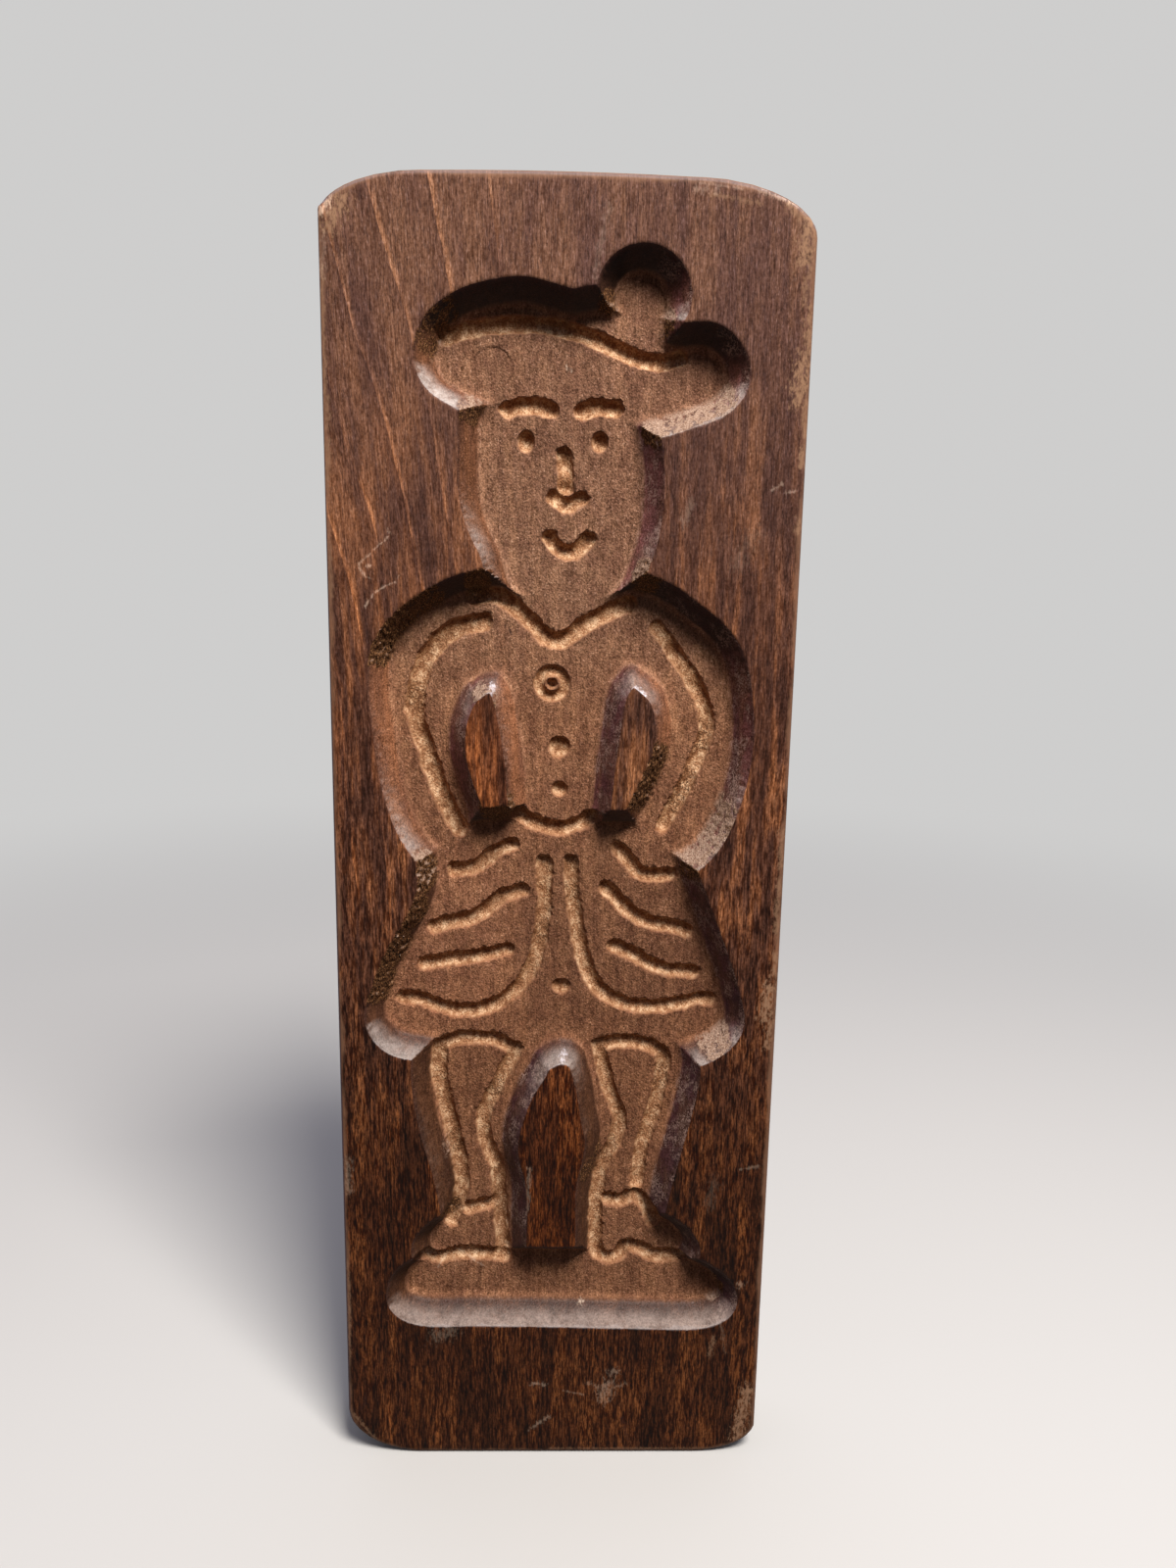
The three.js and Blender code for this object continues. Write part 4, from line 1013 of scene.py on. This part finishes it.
def makeCarvedWood(groups):
    material, shader, place = newMaterial("carvedWood")
    x, height = inMillimetres(place)[::2]
    sideways, up = facing(place)
    grain = useGroup(groups["grain"], Place=place)
    fuzz = useGroup(groups["fuzz"], Place=place)
    wall, cut, torn = (attribute(place, name) for name in ("wallDistance", "cutDistance", "tornGrain"))
    onWall = fade(calc("MULTIPLY_ADD", fuzz["Speck"], 1.6, wall), 0.6, 1.9)
    inPatches = fade(grains(place, (5, 5, 9), 3, 0.6), 0.42, 0.58, 0.3, 1.0)
    facesLamp = times(fade(sideways, 0.2, 0.7), fade(height, 135, 175), fade(height, 243, 232, 0.3, 1.0))
    floorColour = pocketFloor(place, grain, x, height)
    wallColour = pocketWall(grain, height, sideways, up, facesLamp, inPatches)
    colour = shade(onWall, floorColour, wallColour)
    footLine = fade(calc("ABSOLUTE", minus(wall, 0.2)), 0.6, 0.15)
    onSide = times(fade(calc("ABSOLUTE", sideways), 0.12, 0.4), inPatches, 0.75)
    colour = shade(times(footLine, onSide), colour, tinted(floorColour, carving["dryFootTint"]))
    # painted shade: near the rim, walls that don't face up are darkened
    paintedRimShade = times(fade(wall, 3.5, 4.3), fade(up, 0.25, 0.0, 0.0, 0.7))
    colour = shade(paintedRimShade, colour, carving["paintedRimShade"])
    # painted shade: walls that face down under the rims are darkened
    paintedUnderShade = times(fade(wall, 1.2, 4.0), fade(up, -0.25, -0.6))
    colour = tinted(colour, carving["underShadeTint"], paintedUnderShade)
    speckle = plus(times(fade(fuzz["Speck"], 0.34, 0.66), 0.68), times(fade(grain["Fibre"], 0.3, 0.7), 0.32))
    colour = tinted(colour, shade(speckle, *carving["speckTints"]))
    colour = tinted(colour, carving["glintTint"], times(fuzz["Glint"], 0.75))
    grazed = times(fade(sideways, -0.2, -0.7), onWall, fade(fuzz["Speck"], 0.46, 0.58),
                   fade(grains(place, (4, 4, 5), 3, 0.6), 0.44, 0.60), 0.7)
    colour = shade(grazed, colour, carving["grazed"])
    colour, inCut = bareGrooves(colour, place, fuzz, wall, cut, up)
    colour = layPaintedSheen(colour, place, fuzz, height, wall, up, torn)
    colour, inTorn = tornFibres(colour, place, wall, up, torn, inCut)
    rimWearAndHighlight = rubbedRimAndHighlight(place, groups, wall, up, 1.6)
    # painted highlight: a pale line on the rims that face up
    colour = shade(times(rimWearAndHighlight, 0.28), colour, stain["rim"])
    for name, mark in (("floor", stain["scuff"]), ("glint", carving["glint"]), ("crack", stain["darkMark"])):
        colour = shade(marksOn(place, groups, name), colour, mark)
    smoothWall = times(onWall, minus(1.0, inTorn))
    shine = fade(up, 0.2, 0.7, -0.32, -0.48)
    depth = calc("MULTIPLY_ADD", smoothWall, calc("MULTIPLY_ADD", facesLamp, 0.5, -0.5), 1.0)
    depth = calc("MULTIPLY_ADD", inCut, 0.5, depth)
    feed(shader, {
        "Base Color": colour,
        "Roughness": calc("MULTIPLY_ADD", smoothWall, shine, carving["roughness"]),
        "Specular IOR Level": carving["specular"],
        "Normal": bumpOf(times(fuzz["Height"], depth), 0.30, 1.0),
    })
    return material


endGrain = {
    "heart": (14.0, 58.0),         # where the middle of the trunk lay: x, and how far behind the board
    "ringSpacing": 3.7,
    "wood": [(0.15, (0.026, 0.012, 0.009)), (0.5, (0.060, 0.027, 0.018)), (0.85, (0.108, 0.051, 0.032))],
    "ray": (0.140, 0.078, 0.052),
    "poreTints": ((0.45, 0.42, 0.40), (1.25, 1.25, 1.25)),
    "roughness": 0.65,
    "specular": 0.15,
}


def makeEndGrain(groups):
    # The growth rings are arcs round the heart, and the rays run across them.
    material, shader, place = newMaterial("endGrainWood")
    x, y = inMillimetres(place)[:2]
    fromHeart, behind = (minus(value, heart) for value, heart in zip((x, y), endGrain["heart"]))
    radius = lengthOf(fromHeart, behind)
    angle = calc("ARCTAN2", fromHeart, times(behind, -1.0))
    wavy = calc("MULTIPLY_ADD", grains(place, (16, 16, 16), 3), 5.0, radius)
    inRing = calc("FRACT", calc("DIVIDE", wavy, endGrain["ringSpacing"]))
    ringTone = plus(fade(inRing, 0.25, 0.93, 0.75, 0.15), fade(inRing, 0.93, 1.0, 0.0, 0.6))
    tone = plus(times(grains(place, (5, 5, 9), 4, 0.6), 0.5), times(ringTone, 0.6), -0.1)
    colour = colourSteps(tone, endGrain["wood"])
    alongRay = joined(times(angle, 60 * mm), times(radius, mm))
    rays = fade(grains(alongRay, (0.35, 6.0, 1.0), 2, 0.6), 0.52, 0.66)
    colour = shade(times(rays, 0.45), colour, endGrain["ray"])
    pores = fade(grains(place, (0.24, 0.24, 1.5), 3, 0.6), 0.40, 0.60)
    colour = tinted(colour, shade(pores, *endGrain["poreTints"]))
    colour = shade(times(wornEdges(place, groups, 1.6), 0.65), colour, stain["wornEdge"])
    feed(shader, {
        "Base Color": colour,
        "Roughness": endGrain["roughness"],
        "Specular IOR Level": endGrain["specular"],
        "Normal": bumpOf(pores, 0.08, 0.5),
    })
    return material


def finishBoard(board):
    groups = {"grain": makeGrainGroup(), "wear": makeWearGroup(), "mark": makeMarkGroup(), "fuzz": makeFuzzGroup()}
    for make in (makeStainedFace, makeCarvedWood, makeEndGrain):
        board.data.materials.append(make(groups))
    centres, normals = polygonPlaces(board)[:2]
    wall = np.empty(len(board.data.vertices))
    board.data.attributes["wallDistance"].data.foreach_get("value", wall)
    corners = np.empty(len(board.data.polygons) * 3, int)
    board.data.polygons.foreach_get("vertices", corners)
    inPocket = wall[corners.reshape(-1, 3)].mean(1) < pocket["wallRun"]
    height = centres[:, 2]
    atEnd = (np.abs(normals[:, 2]) > 0.6) & ((height < 9) | (height > length - 11)) & ~inPocket
    face, carved, end = range(3)
    board.data.polygons.foreach_set("material_index", np.where(inPocket, carved, np.where(atEnd, end, face)))
    board.data.update()
    print("stained and finished")


studio = {
    "cameraPlace": (-0.00067, -0.26237, 0.22129),
    "cameraTurn": (78.343, -1.052, -1.252),
    "lens": 27.045,
    "background": (0.62, 0.615, 0.61),
    "floorPaint": (0.56, 0.556, 0.552),
    "floorForBounces": (0.05, 0.045, 0.04),      # the floor throws little light up at the board
    "floorFade": (0.18, 0.8),                    # how far off it turns into the background, in m
    "keyPlace": (0.21, -0.47, 0.92),
    "keyAim": (0, 0, 0.15),
    "keySize": 0.30,
    "keyPower": 15.6,
    "keyColour": (1.0, 0.95, 0.88),
    "overhead": (0.34, 0.33, 0.40),              # what the world gives from straight above
    "front": (0.030, 0.028, 0.040),
    "behind": (0.62, 0.62, 0.64),
    "below": (0.02, 0.02, 0.02),
}


def seenRays(tree):      # 1 for what the eye, a reflection or a pane of glass sees
    path = put(tree, "ShaderNodeLightPath").outputs
    total = plus(path["Is Camera Ray"], path["Is Glossy Ray"])
    return calc("ADD", total, path["Is Transmission Ray"], clamp=True)


def makeCamera():
    bpy.ops.object.camera_add(location=studio["cameraPlace"],
                              rotation=[math.radians(angle) for angle in studio["cameraTurn"]])
    camera = bpy.context.object
    camera.name = "photographersView"
    camera.data.sensor_width = 36
    camera.data.lens = studio["lens"]
    camera.data.clip_start = 0.01
    bpy.context.scene.camera = camera


def makeFloor():
    # Pale, with the board's shadow on it. Far away it takes the background's own brightness, so no line shows.
    bpy.ops.mesh.primitive_plane_add(size=12)
    floor = bpy.context.object
    floor.name = "paleFloor"
    material, shader, place = newMaterial("paleFloorPaint")
    seen = seenRays(material.node_tree)
    away = wire("ShaderNodeVectorMath", {0: place}, operation="LENGTH").outputs["Value"]
    faded = times(fade(away, *studio["floorFade"]), seen)
    paint = shade(seen, studio["floorForBounces"], studio["floorPaint"])
    feed(shader, {
        "Base Color": shade(faded, paint, (0.0, 0.0, 0.0)),
        "Roughness": 0.9,
        "Specular IOR Level": 0.0,
        "Emission Color": (*studio["background"], 1),
        "Emission Strength": faded,
    })
    floor.data.materials.append(material)


def makeLight():
    key = Vector(studio["keyPlace"])
    bpy.ops.object.light_add(type="AREA", location=key)
    lamp = bpy.context.object
    lamp.name = "keyLamp"
    lamp.data.energy = studio["keyPower"]
    lamp.data.size = studio["keySize"]
    lamp.data.color = studio["keyColour"]
    lamp.rotation_euler = (Vector(studio["keyAim"]) - key).to_track_quat("-Z", "Y").to_euler()
    world = bpy.data.worlds.new("studio")
    bpy.context.scene.world = world
    world.use_nodes = True
    tree = world.node_tree
    tree.nodes.clear()
    forwards, up = parts(put(tree, "ShaderNodeTexCoord").outputs["Generated"])[1:]
    fill = shade(fade(forwards, -0.15, 0.6), studio["front"], studio["behind"])
    fill = shade(fade(up, 0.3, 0.95), fill, studio["overhead"])
    fill = shade(fade(up, 0.0, -0.3), fill, studio["below"])
    light = shade(seenRays(tree), fill, studio["background"])
    lit = put(tree, "ShaderNodeBackground", {"Color": light, "Strength": 1.0})
    put(tree, "ShaderNodeOutputWorld", {"Surface": lit.outputs[0]})
    print("camera, floor and light placed")


makeCamera()
board = makeBoard()
finishBoard(board)
makeFloor()
makeLight()
bpy.context.scene.view_settings.view_transform = "Standard"
